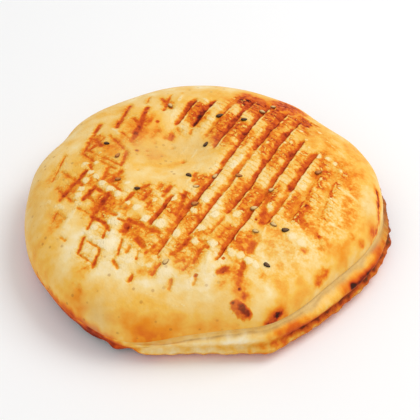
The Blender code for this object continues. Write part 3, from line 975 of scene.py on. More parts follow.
@dataclass(frozen=True)
class Dome:
    """The top of the crust.

    A pair called a line is a number and what a value of 1 adds to it. A pair of places or shares
    is where something starts and where it is full. The grain's parts are its least, and what the
    furrows and the patches add.
    """

    form: BreadForm
    grill: Grill
    scorch: Scorch = Scorch()
    curve_steps: int = 800
    wobble: float = 0.3 * MM
    wobble_noise: tuple[Ripple, Ripple] = (Ripple(1.9 * MM, 3.1), Ripple(1.9 * MM, 7.7))
    broad_noise: Ripple = Ripple(9 * MM, 21.9)
    lump_noise: Ripple = Ripple(3.4 * MM, 31.7)
    rim_shares: Pair = (0.8, 1.0)
    zone_shares: Pair = (0.15, 0.8)
    plain_toast: float = 0.18
    zone_loss: float = 0.05
    pale_loss: float = 0.05
    broad_toast: float = 0.04
    rim_toast: float = 0.04
    pit_toast: float = 0.34
    pit_power: float = 1.6
    scorch_wander: float = 2.0 * MM
    # The lumps break up the dark edge, which is partly painted shade, and the painted highlight.
    edge_line: Pair = (0.85, 0.5)
    painted_highlight_line: Pair = (0.6, 1.2)
    dotted_places: Pair = (-5 * MM, 25 * MM)
    lively_at: Pair = (-28.0, 42.0)
    lively_shares: Pair = (0.45, 0.7)
    rung_places: Pair = (-38 * MM, -20 * MM)
    rung_line: Pair = (0.45, 2.0)
    grain_parts: Triple = (0.15, 0.6, 1.2)
    grain_least: float = 0.1
    wave_depth: float = 0.3 * MM
    lump_height: float = 0.3 * MM
    cream_height: float = 0.45 * MM
    pale_height: float = 0.18 * MM
    cell_depth: float = 0.6 * MM
    pit_depth: float = 1.3 * MM
    blister_lines: tuple[Stroke, Stroke] = (
        Stroke((237, 306.5), (244.5, 315.5), 3.3, 0.66), Stroke((241.5, 309), (246, 315), 2.5, 0.86),
    )
    blister_height: float = 1.3 * MM
    blister_round: float = 0.7
    blister_reach: float = 1.6
    blister_core: int = 6
    blister_ragged: float = 0.3
    blister_noise: Ripple = Ripple(1.6 * MM, 2.5)

    def even_share(self, share: Array) -> Array:
        """Space the rings evenly along the dome's curve instead of along the table.

        Args:
            share: Shares of the way along the curve.

        Returns:
            Shares of the way out.
        """
        power = self.form.dome_power
        out = np.sin(np.linspace(0, np.pi / 2, self.curve_steps)) ** (2 / power)
        rise = (self.form.height - self.form.widest_height) / self.form.radius
        down = rise * (1.0 - out ** power) ** (1.0 / power)
        length = np.concatenate([[0.0], np.cumsum(np.hypot(np.diff(out), np.diff(down)))])
        return np.interp(share * length[-1], length, out)

    def places(self, share: Array, bearing: Array) -> tuple[Array, Looks]:
        """Place the dome's vertices.

        Args:
            share: Share of the way out along the dome's curve.
            bearing: Bearings in radians.

        Returns:
            Places of every vertex, and its looks by name.
        """
        edge_radius, _ = self.form.dome_edge(bearing)
        out = self.even_share(share)
        x, y = edge_radius * out * np.cos(bearing), edge_radius * out * np.sin(bearing)
        flat = np.stack([x, y, np.zeros_like(x)], axis=1)
        x_noise, y_noise = self.wobble_noise
        marks = self.grill.read(x + self.wobble * x_noise.read(flat), y + self.wobble * y_noise.read(flat))
        rim = smooth_step(out, *self.rim_shares)
        at = TopPlaces(
            x=x, y=y, bearing=bearing, out=out, dome=self.form.dome_height(x, y),
            broad=self.broad_noise.read(flat), lumps=self.lump_noise.read(flat), rim=rim,
            zone=smooth_step(marks.zone, *self.zone_shares) * (1 - rim),
            pit=self.grill.pinhole_field(x, y),
        )
        blister, burnt = self.blister(at)
        height = self.relief(at, marks) + self.blister_height * blister
        return np.stack([x, y, height], axis=1), self.looks(at, marks, burnt)

    def relief(self, at: TopPlaces, marks: Marks) -> Array:
        """Press and raise the smooth dome.

        Args:
            at: The vertices.
            marks: The marks at them.

        Returns:
            Their heights, without the blister.
        """
        height = at.dome - marks.press - self.pit_depth * at.pit
        height = height + self.wave_depth * (at.broad - 1.0) * (1 - at.rim)
        height = height + at.zone * self.lump_height * at.lumps + self.cream_height * marks.cream
        return height + self.pale_height * marks.pale - self.cell_depth * marks.cell * (1 - at.rim)

    def toast(self, at: TopPlaces, marks: Marks) -> Array:
        """Brown the dome before its separate marks.

        Args:
            at: The vertices.
            marks: The marks at them.

        Returns:
            Their places on the browning's ramp.
        """
        toast = self.plain_toast - self.zone_loss * at.zone - self.pale_loss * marks.pale + marks.toast
        toast = toast + self.broad_toast * at.broad + self.rim_toast * at.rim
        toast = toast + self.pit_toast * at.pit ** self.pit_power
        return toast + self.scorch.read(at.bearing, at.dome, self.scorch_wander * at.lumps)

    def looks(self, at: TopPlaces, marks: Marks, burnt: Array) -> Looks:
        """Work out what the finish reads.

        Args:
            at: The vertices.
            marks: The marks at them.
            burnt: How burnt the blister is at them.

        Returns:
            One array for each attribute, by its name.
        """
        rows = smooth_step(self.form.to_rows(at.x, at.y)[1], *self.rung_places)
        front_right = bearing_bump(at.bearing, *self.lively_at) * smooth_step(at.out, *self.lively_shares)
        least, near_zone, near_toast = self.grain_parts
        grain = least + near_zone * at.zone + near_toast * marks.toast
        return {
            "toast": self.toast(at, marks),
            "glow": marks.glow,
            "cell": marks.cell,
            "zone": at.zone,
            "mark": marks.mark,
            "mark_toast": marks.mark_toast,
            # The dark edge is partly painted shade; the highlight along the ridges is painted.
            "edge": marks.edge * straight(self.edge_line, at.broad),
            "bright": marks.bright * straight(self.painted_highlight_line, at.lumps),
            "pale": marks.pale,
            "dotted": 1 - smooth_step(at.x, *self.dotted_places),
            "lively": front_right * (1 - at.rim),
            "cream": marks.cream,
            "seam": marks.beige,
            "blot": marks.blot,
            "char": np.maximum(marks.char, burnt),
            "rungs": at.zone * rows * np.clip(straight(self.rung_line, marks.toast), 0.0, 1.0),
            "grain": np.clip(grain, self.grain_least, 1.0) * (1 - at.rim),
        }

    def blister(self, at: TopPlaces) -> tuple[Array, Array]:
        """Find the burnt blister at the front.

        Args:
            at: The vertices.

        Returns:
            How far it stands up at them, and how burnt it is.
        """
        points = (at.x, at.y, at.dome)
        skin, core = (
            self.grill.line_gap(points, start, end) / (line.half * MM)
            for line, start, end in self.grill.lay_lines(self.blister_lines)
        )
        inside = np.clip(1.0 - skin ** 2, 0.0, 1.0) ** self.blister_round
        ragged = self.blister_ragged * self.blister_noise.read(np.stack(points, axis=1))
        skin_toast, core_toast = (line.toast for line in self.blister_lines)
        skin_toast = skin_toast * np.clip(self.blister_reach - skin + ragged, 0, 1)
        return inside, np.maximum(skin_toast, core_toast * np.exp(-((core + ragged) ** self.blister_core)))


@dataclass(frozen=True)
class SidePlaces:
    """The side's vertices and what lies at each, as one array for each kind.

    level is the side ring. rough and fine are noise about 0, wander is in rings and creases in
    metres. The others are shares: of the fold, the right end, the front, the crumbly lower crust,
    the ragged edge at the right end, and the underside.
    """

    level: Array
    bearing: Array
    height: Array
    rough: Array
    fine: Array
    wander: Array
    crease_shades: Array
    fold: Array
    right: Array
    front: Array
    crumb: Array
    ragged: Array
    bottom: Array


@dataclass(frozen=True)
class Side:
    """The side of the crust and its underside.

    The rings that shape it are given as an inset and a height in mm, from the dome's edge down.
    Finer rings lie between them. follows_fold says which of them hang from the fold, and
    lower_shares how much of the lower crust's uneven reach each takes. There is a toast for the
    dome's edge and for each of them. Each of the creases has its ring, its depth, and the share of
    it that the front adds, and they are darkened with painted shade. A pair called a line, or a
    start, rings or depth of the crumb, is a number and what a share of 1 adds to it.
    """

    form: BreadForm
    scorch: Scorch = Scorch()
    rings_each: int = 4
    under_rings: int = 4
    under_reach: float = 0.92
    under_toast: float = 0.36
    under_cell: float = 0.3
    under_fade: float = 0.6
    plain: tuple[Pair, ...] = (
        (0.0, 11.2), (0.2, 9.8), (0.9, 8.0), (2.0, 6.2), (3.4, 4.4), (5.8, 2.0), (10.0, 0.0),
    )
    folded: tuple[Pair, ...] = (
        (0.4, 14.8), (-0.9, 13.7), (0.9, 11.0), (1.6, 7.7), (0.0, 5.8), (1.6, 2.8), (5.0, 0.0),
    )
    follows_fold: tuple[bool, ...] = (True, True, False, False, False, False, False)
    lower_shares: tuple[float, ...] = (0.0, 0.0, 0.2, 0.5, 1.0, 1.0, 0.6)
    plain_toast: tuple[float, ...] = (0.22, 0.22, 0.26, 0.3, 0.36, 0.42, 0.5, 0.56)
    folded_toast: tuple[float, ...] = (0.22, 0.26, 0.2, 0.26, 0.54, 0.46, 0.56, 0.64)
    crease_shades: tuple[Triple, ...] = ((0.35, 0.25 * MM, -1.0), (2.0, 0.16 * MM, 1.2))
    crease_half: float = 0.22
    # How deep a crease must be for its full painted shade, and how patchy that shade is.
    crease_shade_full: float = 0.25 * MM
    crease_shade_line: Pair = (0.8, 0.8)
    crease_shade_least: float = 0.5
    wander: float = 0.35
    wander_noise: Ripple = Ripple(7 * MM, 12.6)
    rough_noise: Ripple = Ripple(3.2 * MM, 4.4)
    fine_noise: Ripple = Ripple(1.3 * MM, 9.2)
    right_end: Pair = (4.0, 15.0)
    front: Pair = (-96.0, 24.0)
    crumb_start: Pair = (2.5, -1.3)
    crumb_rings: Pair = (2.0, -1.2)
    crumb_shares: Pair = (0.45, 0.2)
    crumb_line: Pair = (1.0, 2.4)
    crumb_depth: Pair = (0.15, 0.6)
    crumb_inset: float = 0.3
    crumb_inset_right: float = 0.25
    rag_lift: float = 0.9
    rag_rings: Pair = (2.2, 2.7)
    rag_toast: float = 0.3
    rag_dull: float = 2.2
    rough_line: Pair = (0.12, 0.16)
    fine_line: Pair = (0.06, 0.12)
    grain_line: Pair = (0.25, 0.6)
    scorch_wander: float = 1.4 * MM
    strip_ring: float = 1.9
    strip_fade: float = 0.6
    strip_front_loss: float = 0.8
    dull_at: Pair = (0.0, 75.0)
    side_marks: tuple[SideMark, ...] = (
        SideMark(-38.0, 20.0, 4.1, 0.7, 0.3), SideMark(-28.0, 9.0, 3.0, 0.4, 0.5),
        SideMark(-16.5, 4.0, 1.9, 0.3, 0.4), SideMark(-16.0, 4.0, 2.6, 0.6, 0.24),
        SideMark(-57.0, 7.0, 3.6, 0.9, 0.3), SideMark(-63.0, 6.0, 2.8, 0.9, 0.34),
        SideMark(-79.0, 6.0, 3.2, 1.0, -0.16), SideMark(-34.0, 6.0, 2.7, 0.7, 0.24),
        SideMark(-20.0, 9.0, 3.6, 0.8, 0.2), SideMark(3.0, 14.0, 4.2, 1.0, 0.3),
        SideMark(-34.5, 1.0, 3.0, 0.3, 0.8), SideMark(-95.0, 24.0, 4.5, 1.5, -0.34),
    )

    def ring_count(self) -> int:
        """Count the rings of the side and the underside."""
        return len(self.plain) * self.rings_each + self.under_rings

    def places(self, level: Array, bearing: Array) -> tuple[Array, Looks]:
        """Place the side's vertices.

        Args:
            level: Side ring, counted down from the dome's edge.
            bearing: Bearings in radians.

        Returns:
            Places of every vertex, and its looks by name.
        """
        foot = len(self.plain)
        under = np.clip((level - foot) * self.rings_each / self.under_rings, 0.0, 1.0)
        level = np.minimum(level, foot)
        above = 1 - smooth_step(level, foot - 1.0, foot)
        fold = self.form.fold_share(bearing)
        radius, height = self.curve(level, bearing, fold)
        radius = radius * (1 - self.under_reach * under)
        flat = stand(radius, bearing, height)
        around = stand(self.form.outline(bearing), bearing, np.zeros_like(level))
        wander = self.wander * self.wander_noise.read(around)
        right, front = bearing_bump(bearing, *self.right_end), bearing_bump(bearing, *self.front)
        rise = (level - straight(self.crumb_start, right)) / straight(self.crumb_rings, right)
        at = SidePlaces(
            level=level, bearing=bearing, height=height,
            rough=self.rough_noise.read(flat) * above, fine=self.fine_noise.read(flat) * above,
            wander=wander, crease_shades=self.crease_depth(level - wander, front),
            fold=fold, right=right, front=front, crumb=smooth_step(rise, 0.0, 1.0) * above,
            ragged=smooth_step(level - wander + self.rag_lift * right, *self.rag_rings) * above * right,
            bottom=smooth_step(under, 0.0, self.under_fade),
        )
        radius = radius + self.crumble(at) - fold * at.crease_shades
        return stand(radius, bearing, height), self.looks(at)

    def curve(self, level: Array, bearing: Array, fold: Array) -> tuple[Array, Array]:
        """Find the side's smooth form.

        Args:
            level: Side ring.
            bearing: Bearings in radians.
            fold: How much the fold shows at each.

        Returns:
            The radius and the height at each vertex.
        """
        form = self.form
        edge_radius, edge_height = form.dome_edge(bearing)
        outline, lower = form.outline(bearing), form.lower_reach(bearing, fold)
        radii, heights = [edge_radius], [edge_height]
        rings = zip(self.plain, self.folded, self.follows_fold, self.lower_shares)
        for (plain_in, plain_height), (folded_in, folded_height), follows, lower_share in rings:
            reach = edge_radius if follows else outline
            radius = (1 - fold) * (outline - plain_in * MM) + fold * (reach - folded_in * MM)
            height = (1 - fold) * plain_height * MM + fold * folded_height * MM
            if follows:
                height = height + edge_height - form.widest_height - fold * form.fold_lift
            radii.append(radius + lower_share * lower)
            heights.append(height)
        height = np.maximum(self.along_curve(np.array(heights), level), 0.0)
        return self.along_curve(np.array(radii), level), height

    @staticmethod
    def along_curve(marks: Array, level: Array) -> Array:
        """Follow a smooth curve through each vertex's own marks.

        Args:
            marks: One row for each ring that shapes the side.
            level: Where each vertex lies between those rings.

        Returns:
            The curve's value at every vertex.
        """
        last = len(marks) - 1
        start = np.clip(np.floor(level).astype(int), 0, last - 1)
        part = level - start
        own = np.arange(len(level))
        before = marks[np.maximum(start - 1, 0), own]
        first = marks[start, own]
        second = marks[start + 1, own]
        after = marks[np.minimum(start + 2, last), own]
        bend = 2 * before - 5 * first + 4 * second - after
        turn = -before + 3 * first - 3 * second + after
        return first + 0.5 * part * (second - before + part * (bend + part * turn))

    def crease_depth(self, ring: Array, front: Array) -> Array:
        """Find how deep the creases along the band are.

        Args:
            ring: Side ring, moved by the wander.
            front: How far at the front each vertex is.

        Returns:
            Depths in metres.
        """
        return sum(
            depth * (1 + gain * front) * bell((ring - middle) / self.crease_half)
            for middle, depth, gain in self.crease_shades
        )

    def crumble(self, at: SidePlaces) -> Array:
        """Roughen the lower crust, most of all at the right end.

        Args:
            at: The vertices.

        Returns:
            Reach to add to the radius.
        """
        rough_share, fine_share = self.crumb_shares
        coarse = (rough_share * at.rough + fine_share * at.fine) * straight(self.crumb_line, at.right)
        coarse = coarse - self.crumb_inset_right * at.right - self.crumb_inset
        return at.crumb * straight(self.crumb_depth, at.fold) * coarse * MM

    def toast(self, at: SidePlaces) -> Array:
        """Brown the side and the underside.

        Args:
            at: The vertices.

        Returns:
            Their places on the browning's ramp.
        """
        steps = np.arange(len(self.plain_toast))
        toast = (1 - at.fold) * np.interp(at.level, steps, self.plain_toast)
        toast = toast + at.fold * np.interp(at.level, steps, self.folded_toast)
        toast = toast + self.scorch.read(at.bearing, at.height, self.scorch_wander * at.rough)
        for mark in self.side_marks:
            beside = bearing_bump(at.bearing, mark.bearing, mark.width)
            toast = toast + mark.toast * beside * bell((at.level - mark.ring) / mark.reach)
        patchy = at.crumb * at.fold * (1 - at.front)
        toast = toast + straight(self.rough_line, patchy) * at.rough
        toast = toast + straight(self.fine_line, patchy) * at.fine + self.rag_toast * at.ragged
        return toast + (self.under_toast - toast) * at.bottom

    def looks(self, at: SidePlaces) -> Looks:
        """Work out what the finish reads.

        Args:
            at: The vertices.

        Returns:
            One array for each attribute, by its name.
        """
        strip = self.strip_ring + at.wander
        band = at.fold * (1 - smooth_step(at.level, strip, strip + self.strip_fade))
        crease_shade_share = np.clip(straight(self.crease_shade_line, at.rough), self.crease_shade_least, 1.0)
        crumb = at.crumb * at.fold
        return {
            "toast": self.toast(at),
            "grain": straight(self.grain_line, crumb),
            "seam": band * (1 - self.strip_front_loss * at.front),
            # Painted shade that darkens the side's creases.
            "crease_shade": at.crease_shades / self.crease_shade_full * at.fold * crease_shade_share,
            "dull": np.maximum(crumb * bearing_bump(at.bearing, *self.dull_at), self.rag_dull * at.ragged),
            "calm": at.fold * (1 - at.bottom),
            "lively": at.bottom,
            "cell": self.under_cell * at.bottom,
        }


@dataclass
class Crust:
    """The whole bread as one fine closed mesh, with its browning as attributes.

    The top is a square grid drawn out to a round one, and the side's rings hang from its edge.
    """

    dome: Dome
    side: Side
    grid: int = 256

    def build(self) -> bpy.types.Object:
        """Build the mesh and its attributes.

        Returns:
            The crust's object.
        """
        mesh = bmesh.new()
        level = mesh.verts.layers.float.new("level")
        bmesh.ops.create_grid(mesh, x_segments=self.grid, y_segments=self.grid, size=1.0)
        for ring in range(1, self.side.ring_count() + 1):
            rim = [edge for edge in mesh.edges if edge.is_boundary]
            grown = bmesh.ops.extrude_edge_only(mesh, edges=rim)["geom"]
            for vert in grown:
                if isinstance(vert, bmesh.types.BMVert):
                    vert[level] = ring / self.side.rings_each
        bmesh.ops.contextual_create(mesh, geom=[edge for edge in mesh.edges if edge.is_boundary])
        crust = add_object("bread_crust", mesh, smooth=True)
        self.shape(crust.data)
        return crust

    def shape(self, data: bpy.types.Mesh) -> None:
        """Move every vertex to the bread's surface and write its browning.

        Args:
            data: The flat grid with its side rings still folded together.
        """
        count = len(data.vertices)
        flat, level = np.empty(count * 3), np.empty(count)
        data.vertices.foreach_get("co", flat)
        data.attributes["level"].data.foreach_get("value", level)
        flat = flat.reshape(-1, 3)
        share, bearing = self.square_to_round(flat[:, 0], flat[:, 1])
        top = level == 0
        places = np.empty((count, 3))
        places[top], top_looks = self.dome.places(share[top], bearing[top])
        places[~top], side_looks = self.side.places(level[~top], bearing[~top])
        places[:, :2] -= self.dome.form.box_middle
        data.vertices.foreach_set("co", places.ravel())
        for name in {**top_looks, **side_looks}:
            values = np.zeros(count)
            values[top] = top_looks.get(name, 0.0)
            values[~top] = side_looks.get(name, 0.0)
            data.attributes.new(name, "FLOAT", "POINT").data.foreach_set("value", values)
        data.attributes.remove(data.attributes["level"])
        data.update()
        work = bmesh.new()
        work.from_mesh(data)
        bmesh.ops.recalc_face_normals(work, faces=work.faces[:])
        work.to_mesh(data)
        work.free()

    @staticmethod
    def square_to_round(a: Array, b: Array) -> tuple[Array, Array]:
        """Turn a square grid's places into a round one's.

        Args:
            a: Places along the square's one side, from -1 to 1.
            b: Places along its other side.

        Returns:
            Shares outwards, and bearings in radians.
        """
        share = np.maximum(np.abs(a), np.abs(b))
        safe_a, safe_b = np.where(a == 0, 1.0, a), np.where(b == 0, 1.0, b)
        turn_wide = np.pi / 4 * b / safe_a + np.where(a < 0, np.pi, 0.0)
        turn_tall = np.pi / 2 - np.pi / 4 * a / safe_b + np.where(b < 0, np.pi, 0.0)
        return share, np.where(np.abs(a) > np.abs(b), turn_wide, turn_tall)

    def dress(self, crust: bpy.types.Object) -> None:
        """Give the crust its finish and its place in the frame.

        Args:
            crust: The crust's object.
        """
        crust.data.materials.append(CrustFinish().make())
        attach(crust, BODY)
        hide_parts(NODE)


class Term:
    """A shader socket that takes part in sums."""

    def __init__(self, sheet: "NodeSheet", socket: bpy.types.NodeSocket) -> None:
        """Keep the socket and the sheet that it is on."""
        self.sheet = sheet
        self.socket = socket

    def __add__(self, other: "Term | float") -> "Term":
        """Add."""
        return self.sheet.maths("ADD", self, other)

    def __radd__(self, other: float) -> "Term":
        """Add to a number."""
        return self.sheet.maths("ADD", other, self)

    def __sub__(self, other: "Term | float") -> "Term":
        """Subtract."""
        return self.sheet.maths("SUBTRACT", self, other)

    def __rsub__(self, other: float) -> "Term":
        """Subtract from a number."""
        return self.sheet.maths("SUBTRACT", other, self)

    def __mul__(self, other: "Term | float") -> "Term":
        """Multiply."""
        return self.sheet.maths("MULTIPLY", self, other)

    def __rmul__(self, other: float) -> "Term":
        """Multiply a number."""
        return self.sheet.maths("MULTIPLY", other, self)

    def size(self) -> "Term":
        """Drop the sign."""
        return self.sheet.maths("ABSOLUTE", self, 0.0)

    def at_least(self, other: "Term | float") -> "Term":
        """Take the larger of the two."""
        return self.sheet.maths("MAXIMUM", self, other)

    def clamp(self) -> "Term":
        """Keep between 0 and 1."""
        return self.sheet.maths("MINIMUM", self.at_least(0.0), 1.0)

    def sine(self) -> "Term":
        """Take the sine."""
        return self.sheet.maths("SINE", self, 0.0)

    def step(self, low: float, high: float) -> "Term":
        """Rise smoothly from 0 to 1.

        Args:
            low: Where the rise starts.
            high: Where it ends.

        Returns:
            A term from 0 to 1.
        """
        inputs = {"Value": self, "From Min": low, "From Max": high}
        made = self.sheet.node("ShaderNodeMapRange", {"interpolation_type": "SMOOTHSTEP"}, inputs)
        return Term(self.sheet, made.outputs[0])

    def towards(self, other: "Term | float", share: "Term") -> "Term":
        """Move by a share of the way to another term."""
        return self + (other - self) * share


class NodeSheet:
    """One material's nodes."""

    def __init__(self, name: str) -> None:
        """Start a material with an empty Principled shader.

        Args:
            name: The material's name.
        """
        self.material = bpy.data.materials.new(name)
        self.material.use_nodes = True
        self.tree = self.material.node_tree
        self.shader = self.tree.nodes["Principled BSDF"]
        self.attributes: dict[str, Term] = {}

    def node(self, kind: str, settings: dict, inputs: dict) -> bpy.types.Node:
        """Add one node.

        Args:
            kind: The node's type.
            settings: Its settings; a ramp's stops come as "stops".
            inputs: Values or terms for its sockets, by name or number.

        Returns:
            The node.
        """
        made = self.tree.nodes.new(kind)
        for name, value in settings.items():
            if name == "stops":
                self.set_stops(made.color_ramp, value)
            else:
                setattr(made, name, value)
        for name, value in inputs.items():
            self.feed(made.inputs[name], value)
        return made

    @staticmethod
    def set_stops(ramp: bpy.types.ColorRamp, stops: tuple[tuple[float, Shade], ...]) -> None:
        """Write a ramp's stops.

        Args:
            ramp: The ramp, which starts with two stops.
            stops: Places and colours, in order.
        """
        while len(ramp.elements) < len(stops):
            ramp.elements.new(0.5)
        for element, (place, colour) in zip(ramp.elements, stops):
            element.position = place
            element.color = colour

    def feed(self, socket: bpy.types.NodeSocket, value: "Term | float | tuple") -> None:
        """Link a term to a socket, or set the socket to a value.

        Args:
            socket: The socket.
            value: What goes into it.
        """
        if isinstance(value, Term):
            self.tree.links.new(value.socket, socket)
        else:
            socket.default_value = value

    def finish(self, colour: Term, roughness: Term, normal: Term, specular: float) -> bpy.types.Material:
        """Feed the shader.

        Args:
            colour: The surface's colour.
            roughness: Its roughness.
            normal: Its bumped normal.
            specular: Level of its reflections, the same all over.

        Returns:
            The material.
        """
        for name, value in (("Base Color", colour), ("Roughness", roughness), ("Normal", normal)):
            self.feed(self.shader.inputs[name], value)
        self.shader.inputs["Specular IOR Level"].default_value = specular
        return self.material

    def maths(self, operation: str, first: "Term | float", second: "Term | float") -> Term:
        """Add one Math node."""
        made = self.node("ShaderNodeMath", {"operation": operation}, {0: first, 1: second})
        return Term(self, made.outputs[0])

    def attribute(self, name: str) -> Term:
        """Read one of the mesh's own attributes.

        Args:
            name: The attribute's name.

        Returns:
            Its value, from one node however often it is read.
        """
        if name not in self.attributes:
            made = self.node("ShaderNodeAttribute", {"attribute_name": name}, {})
            self.attributes[name] = Term(self, made.outputs["Fac"])
        return self.attributes[name]

    def place(self) -> Term:
        """Read the place on the object."""
        return Term(self, self.node("ShaderNodeTexCoord", {}, {}).outputs["Object"])

    def noise(self, size: float, detail: float = 2.0, roughness: float = 0.5) -> Term:
        """Add noise in space.

        Args:
            size: Size of its bumps in metres.
            detail: Layers of finer noise.
            roughness: Strength of the finer layers.

        Returns:
            A term about 0.
        """
        inputs = {"Vector": self.place(), "Scale": 1 / size, "Detail": detail, "Roughness": roughness}
        made = self.node("ShaderNodeTexNoise", {"noise_dimensions": "3D"}, inputs)
        return Term(self, made.outputs["Fac"]) - 0.5

    def ramp(self, term: Term, stops: tuple[tuple[float, Shade], ...]) -> Term:
        """Turn a term into a colour along a ramp."""
        made = self.node("ShaderNodeValToRGB", {"stops": stops}, {"Fac": term})
        return Term(self, made.outputs["Color"])

    def mix(self, share: "Term | float", first: "Term | Shade", second: "Term | Shade") -> Term:
        """Mix two colours.

        Args:
            share: Share of the second.
            first: Colour where the share is 0.
            second: Colour where it is 1.

        Returns:
            The mixed colour.
        """
        inputs = {"Factor": share, 6: first, 7: second}
        made = self.node("ShaderNodeMix", {"data_type": "RGBA"}, inputs)
        return Term(self, made.outputs[2])

    def bump(self, height: Term, depth: float, strength: float) -> Term:
        """Turn a height into a bumped normal.

        Args:
            height: The height, as a share of the depth.
            depth: Metres from 0 to 1.
            strength: Share of the bump that shows.

        Returns:
            The normal.
        """
        inputs = {"Height": height, "Distance": depth, "Strength": strength}
        return Term(self, self.node("ShaderNodeBump", {}, inputs).outputs["Normal"])


@dataclass(frozen=True)
class Layer:
    """A layer on the browning: where its mask starts and is full, its tone and its strength."""

    low: float
    high: float
    tone: float
    strength: float = 1.0

    def lay(self, tone: Term, mask: Term, strength: "Term | None" = None) -> Term:
        """Lay it over a tone.

        Args:
            tone: Tone under the layer.
            mask: Where the layer shows.
            strength: Its strength at each place, where that isn't the layer's own.

        Returns:
            The tone with the layer.
        """
        shown = mask.step(self.low, self.high)
        return tone.towards(self.tone, shown * (self.strength if strength is None else strength))


@dataclass(frozen=True)
class Dough:
    """Noise that breaks up the browning, from broad to fine, and a mottle of two of them."""

    cloud: Term
    soft: Term
    blotch: Term
    speck: Term
    grit: Term
    mottle: Term


@dataclass(frozen=True)
class CrustFinish:
    """Baked dough from pale cream through gold and orange to rust and char.

    A tone is a place on the ramp of browning. A step is where something starts and where it is
    full. A tint names its attribute, how full and how patchy it is, and its colour. The numbers
    in the sums say how much of each noise and each attribute goes in.
    """

    stops: tuple[tuple[float, Shade], ...] = (
        (0.0, srgb(254, 239, 202)), (0.14, srgb(249, 217, 146)), (0.3, srgb(246, 190, 80)),
        (0.45, srgb(241, 148, 30)), (0.6, srgb(226, 106, 18)), (0.75, srgb(202, 74, 14)),
        (0.88, srgb(140, 36, 6)), (1.0, srgb(58, 22, 12)),
    )
    tints: tuple[tuple[str, float, float, Shade], ...] = (
        ("seam", 0.8, 0.8, srgb(222, 184, 116)),
        # The next tint is painted shade along the side's creases.
        ("crease_shade", 0.4, 0.8, srgb(160, 104, 46)),
        ("dull", 0.4, 0.6, srgb(158, 86, 30)),
    )
    cloud_size: float = 13 * MM
    soft_size: float = 6 * MM
    blotch_size: float = 3.6 * MM
    speck_size: float = 1.6 * MM
    grit_size: float = 0.8 * MM
    vein_size: float = 4.4 * MM
    vein_thinness: float = 11.0
    vein_step: Pair = (0.12, 0.4)
    calm_share: float = 0.5
    bead_step: Pair = (-0.1, 0.2)
    bead_middle: float = 0.45
    bead_gain: float = 0.17
    glow_heat: float = 0.55
    heat_gain: float = 0.3
    heat_step: Pair = (0.02, 0.16)
    brown_step: Pair = (0.1, 0.46)
    rung_gain: float = 0.24
    scratch: Layer = Layer(0.3, 0.75, 0.06, 0.7)
    # Pale flecks in the marked zone, partly specks in the dough and partly painted highlights.
    fleck_and_highlight: Layer = Layer(0.12, 0.24, 0.1)
    cream: Layer = Layer(0.4, 0.7, 0.05, 0.85)
    mark_step: Pair = (0.15, 0.9)
    mark_shift: float = 0.04
    # The dark edge is partly painted shade, and the next layer is a painted highlight along the ridges.
    edge: Layer = Layer(0.3, 0.7, 0.9, 0.85)
    bright: Layer = Layer(0.35, 0.7, 0.08, 0.6)
    char_step: Pair = (0.32, 0.56)
    pinhole_colour: Shade = srgb(160, 92, 34)
    dot_spacing: float = 4.6 * MM
    dot_step: Pair = (0.1, 0.2)
    dot_share: float = 0.4
    rung_period: float = 2.6 * MM
    rung_heading: Triple = (0.643, 0.766, 0.0)
    rung_bend: float = 5.0
    rung_step: Pair = (0.3, 1.2)
    gloss: Triple = (0.42, 0.25, 0.25)
    specular: float = 0.12
    relief_depth: float = 0.6 * MM
    relief_share: float = 0.9

    def make(self) -> bpy.types.Material:
        """Make the material.

        Returns:
            The material.
        """
        sheet = NodeSheet("baked_crust")
        blotch, speck = sheet.noise(self.blotch_size, 2.0, 0.6), sheet.noise(self.speck_size, 1.5)
        dough = Dough(
            cloud=sheet.noise(self.cloud_size), soft=sheet.noise(self.soft_size), blotch=blotch,
            speck=speck, grit=sheet.noise(self.grit_size), mottle=blotch * 1.2 + speck * 0.6,
        )
        tone = self.oven(sheet, dough)
        tone = self.lighten(sheet, dough, tone)
        tone = self.grill_marks(sheet, dough, tone).clamp()
        least, by_tone, by_speck = self.gloss
        roughness = (least + tone * by_tone + speck * by_speck).clamp()
        grain, zone = sheet.attribute("grain"), sheet.attribute("zone")
        relief = dough.grit * (0.3 + grain * 0.6) + speck * grain * 0.7
        relief = relief + blotch * (0.4 + zone * 0.8) - tone * 0.8
        normal = sheet.bump(relief, self.relief_depth, self.relief_share)
        return sheet.finish(self.tint(sheet, dough, tone), roughness, normal, self.specular)

    def oven(self, sheet: NodeSheet, dough: Dough) -> Term:
        """Brown the dough, most of all in the cells and around the marks.

        Args:
            sheet: The material's nodes.
            dough: Noise that breaks up the browning.

        Returns:
            The tone.
        """
        soft, blotch, speck, mottle = dough.soft, dough.blotch, dough.speck, dough.mottle
        names = ("cell", "glow", "lively", "rungs", "grain", "calm")
        cell, glow, lively, ridge, grain, calm = (sheet.attribute(name) for name in names)
        stir = dough.cloud * 0.22 + soft * 0.3 + blotch * 0.1 + speck * grain * 0.2
        tone = sheet.attribute("toast") + stir * (1.0 - calm * self.calm_share)
        beads = (soft * 0.9 + blotch * 1.4).step(*self.bead_step) - self.bead_middle
        tone = tone + lively * (beads * self.bead_gain + speck * 0.3 + dough.grit * 0.2)
        heat = cell.at_least(glow * self.glow_heat)
        brown = (heat * 1.2 + mottle * 0.8 + soft * 0.5).step(*self.brown_step) * heat.step(*self.heat_step)
        tone = tone + heat * self.heat_gain + brown * (heat * (0.22 + ridge * 0.28) + mottle * 0.3)
        veins = (1.0 - sheet.noise(self.vein_size, 2.0, 0.6).size() * self.vein_thinness).clamp()
        tone = tone + veins * heat.step(*self.vein_step) * (heat * 0.4)
        tone = tone + sheet.attribute("blot") * (1.0 + mottle * 1.6)
        return tone + self.rungs(sheet, blotch, speck) * ridge * self.rung_gain

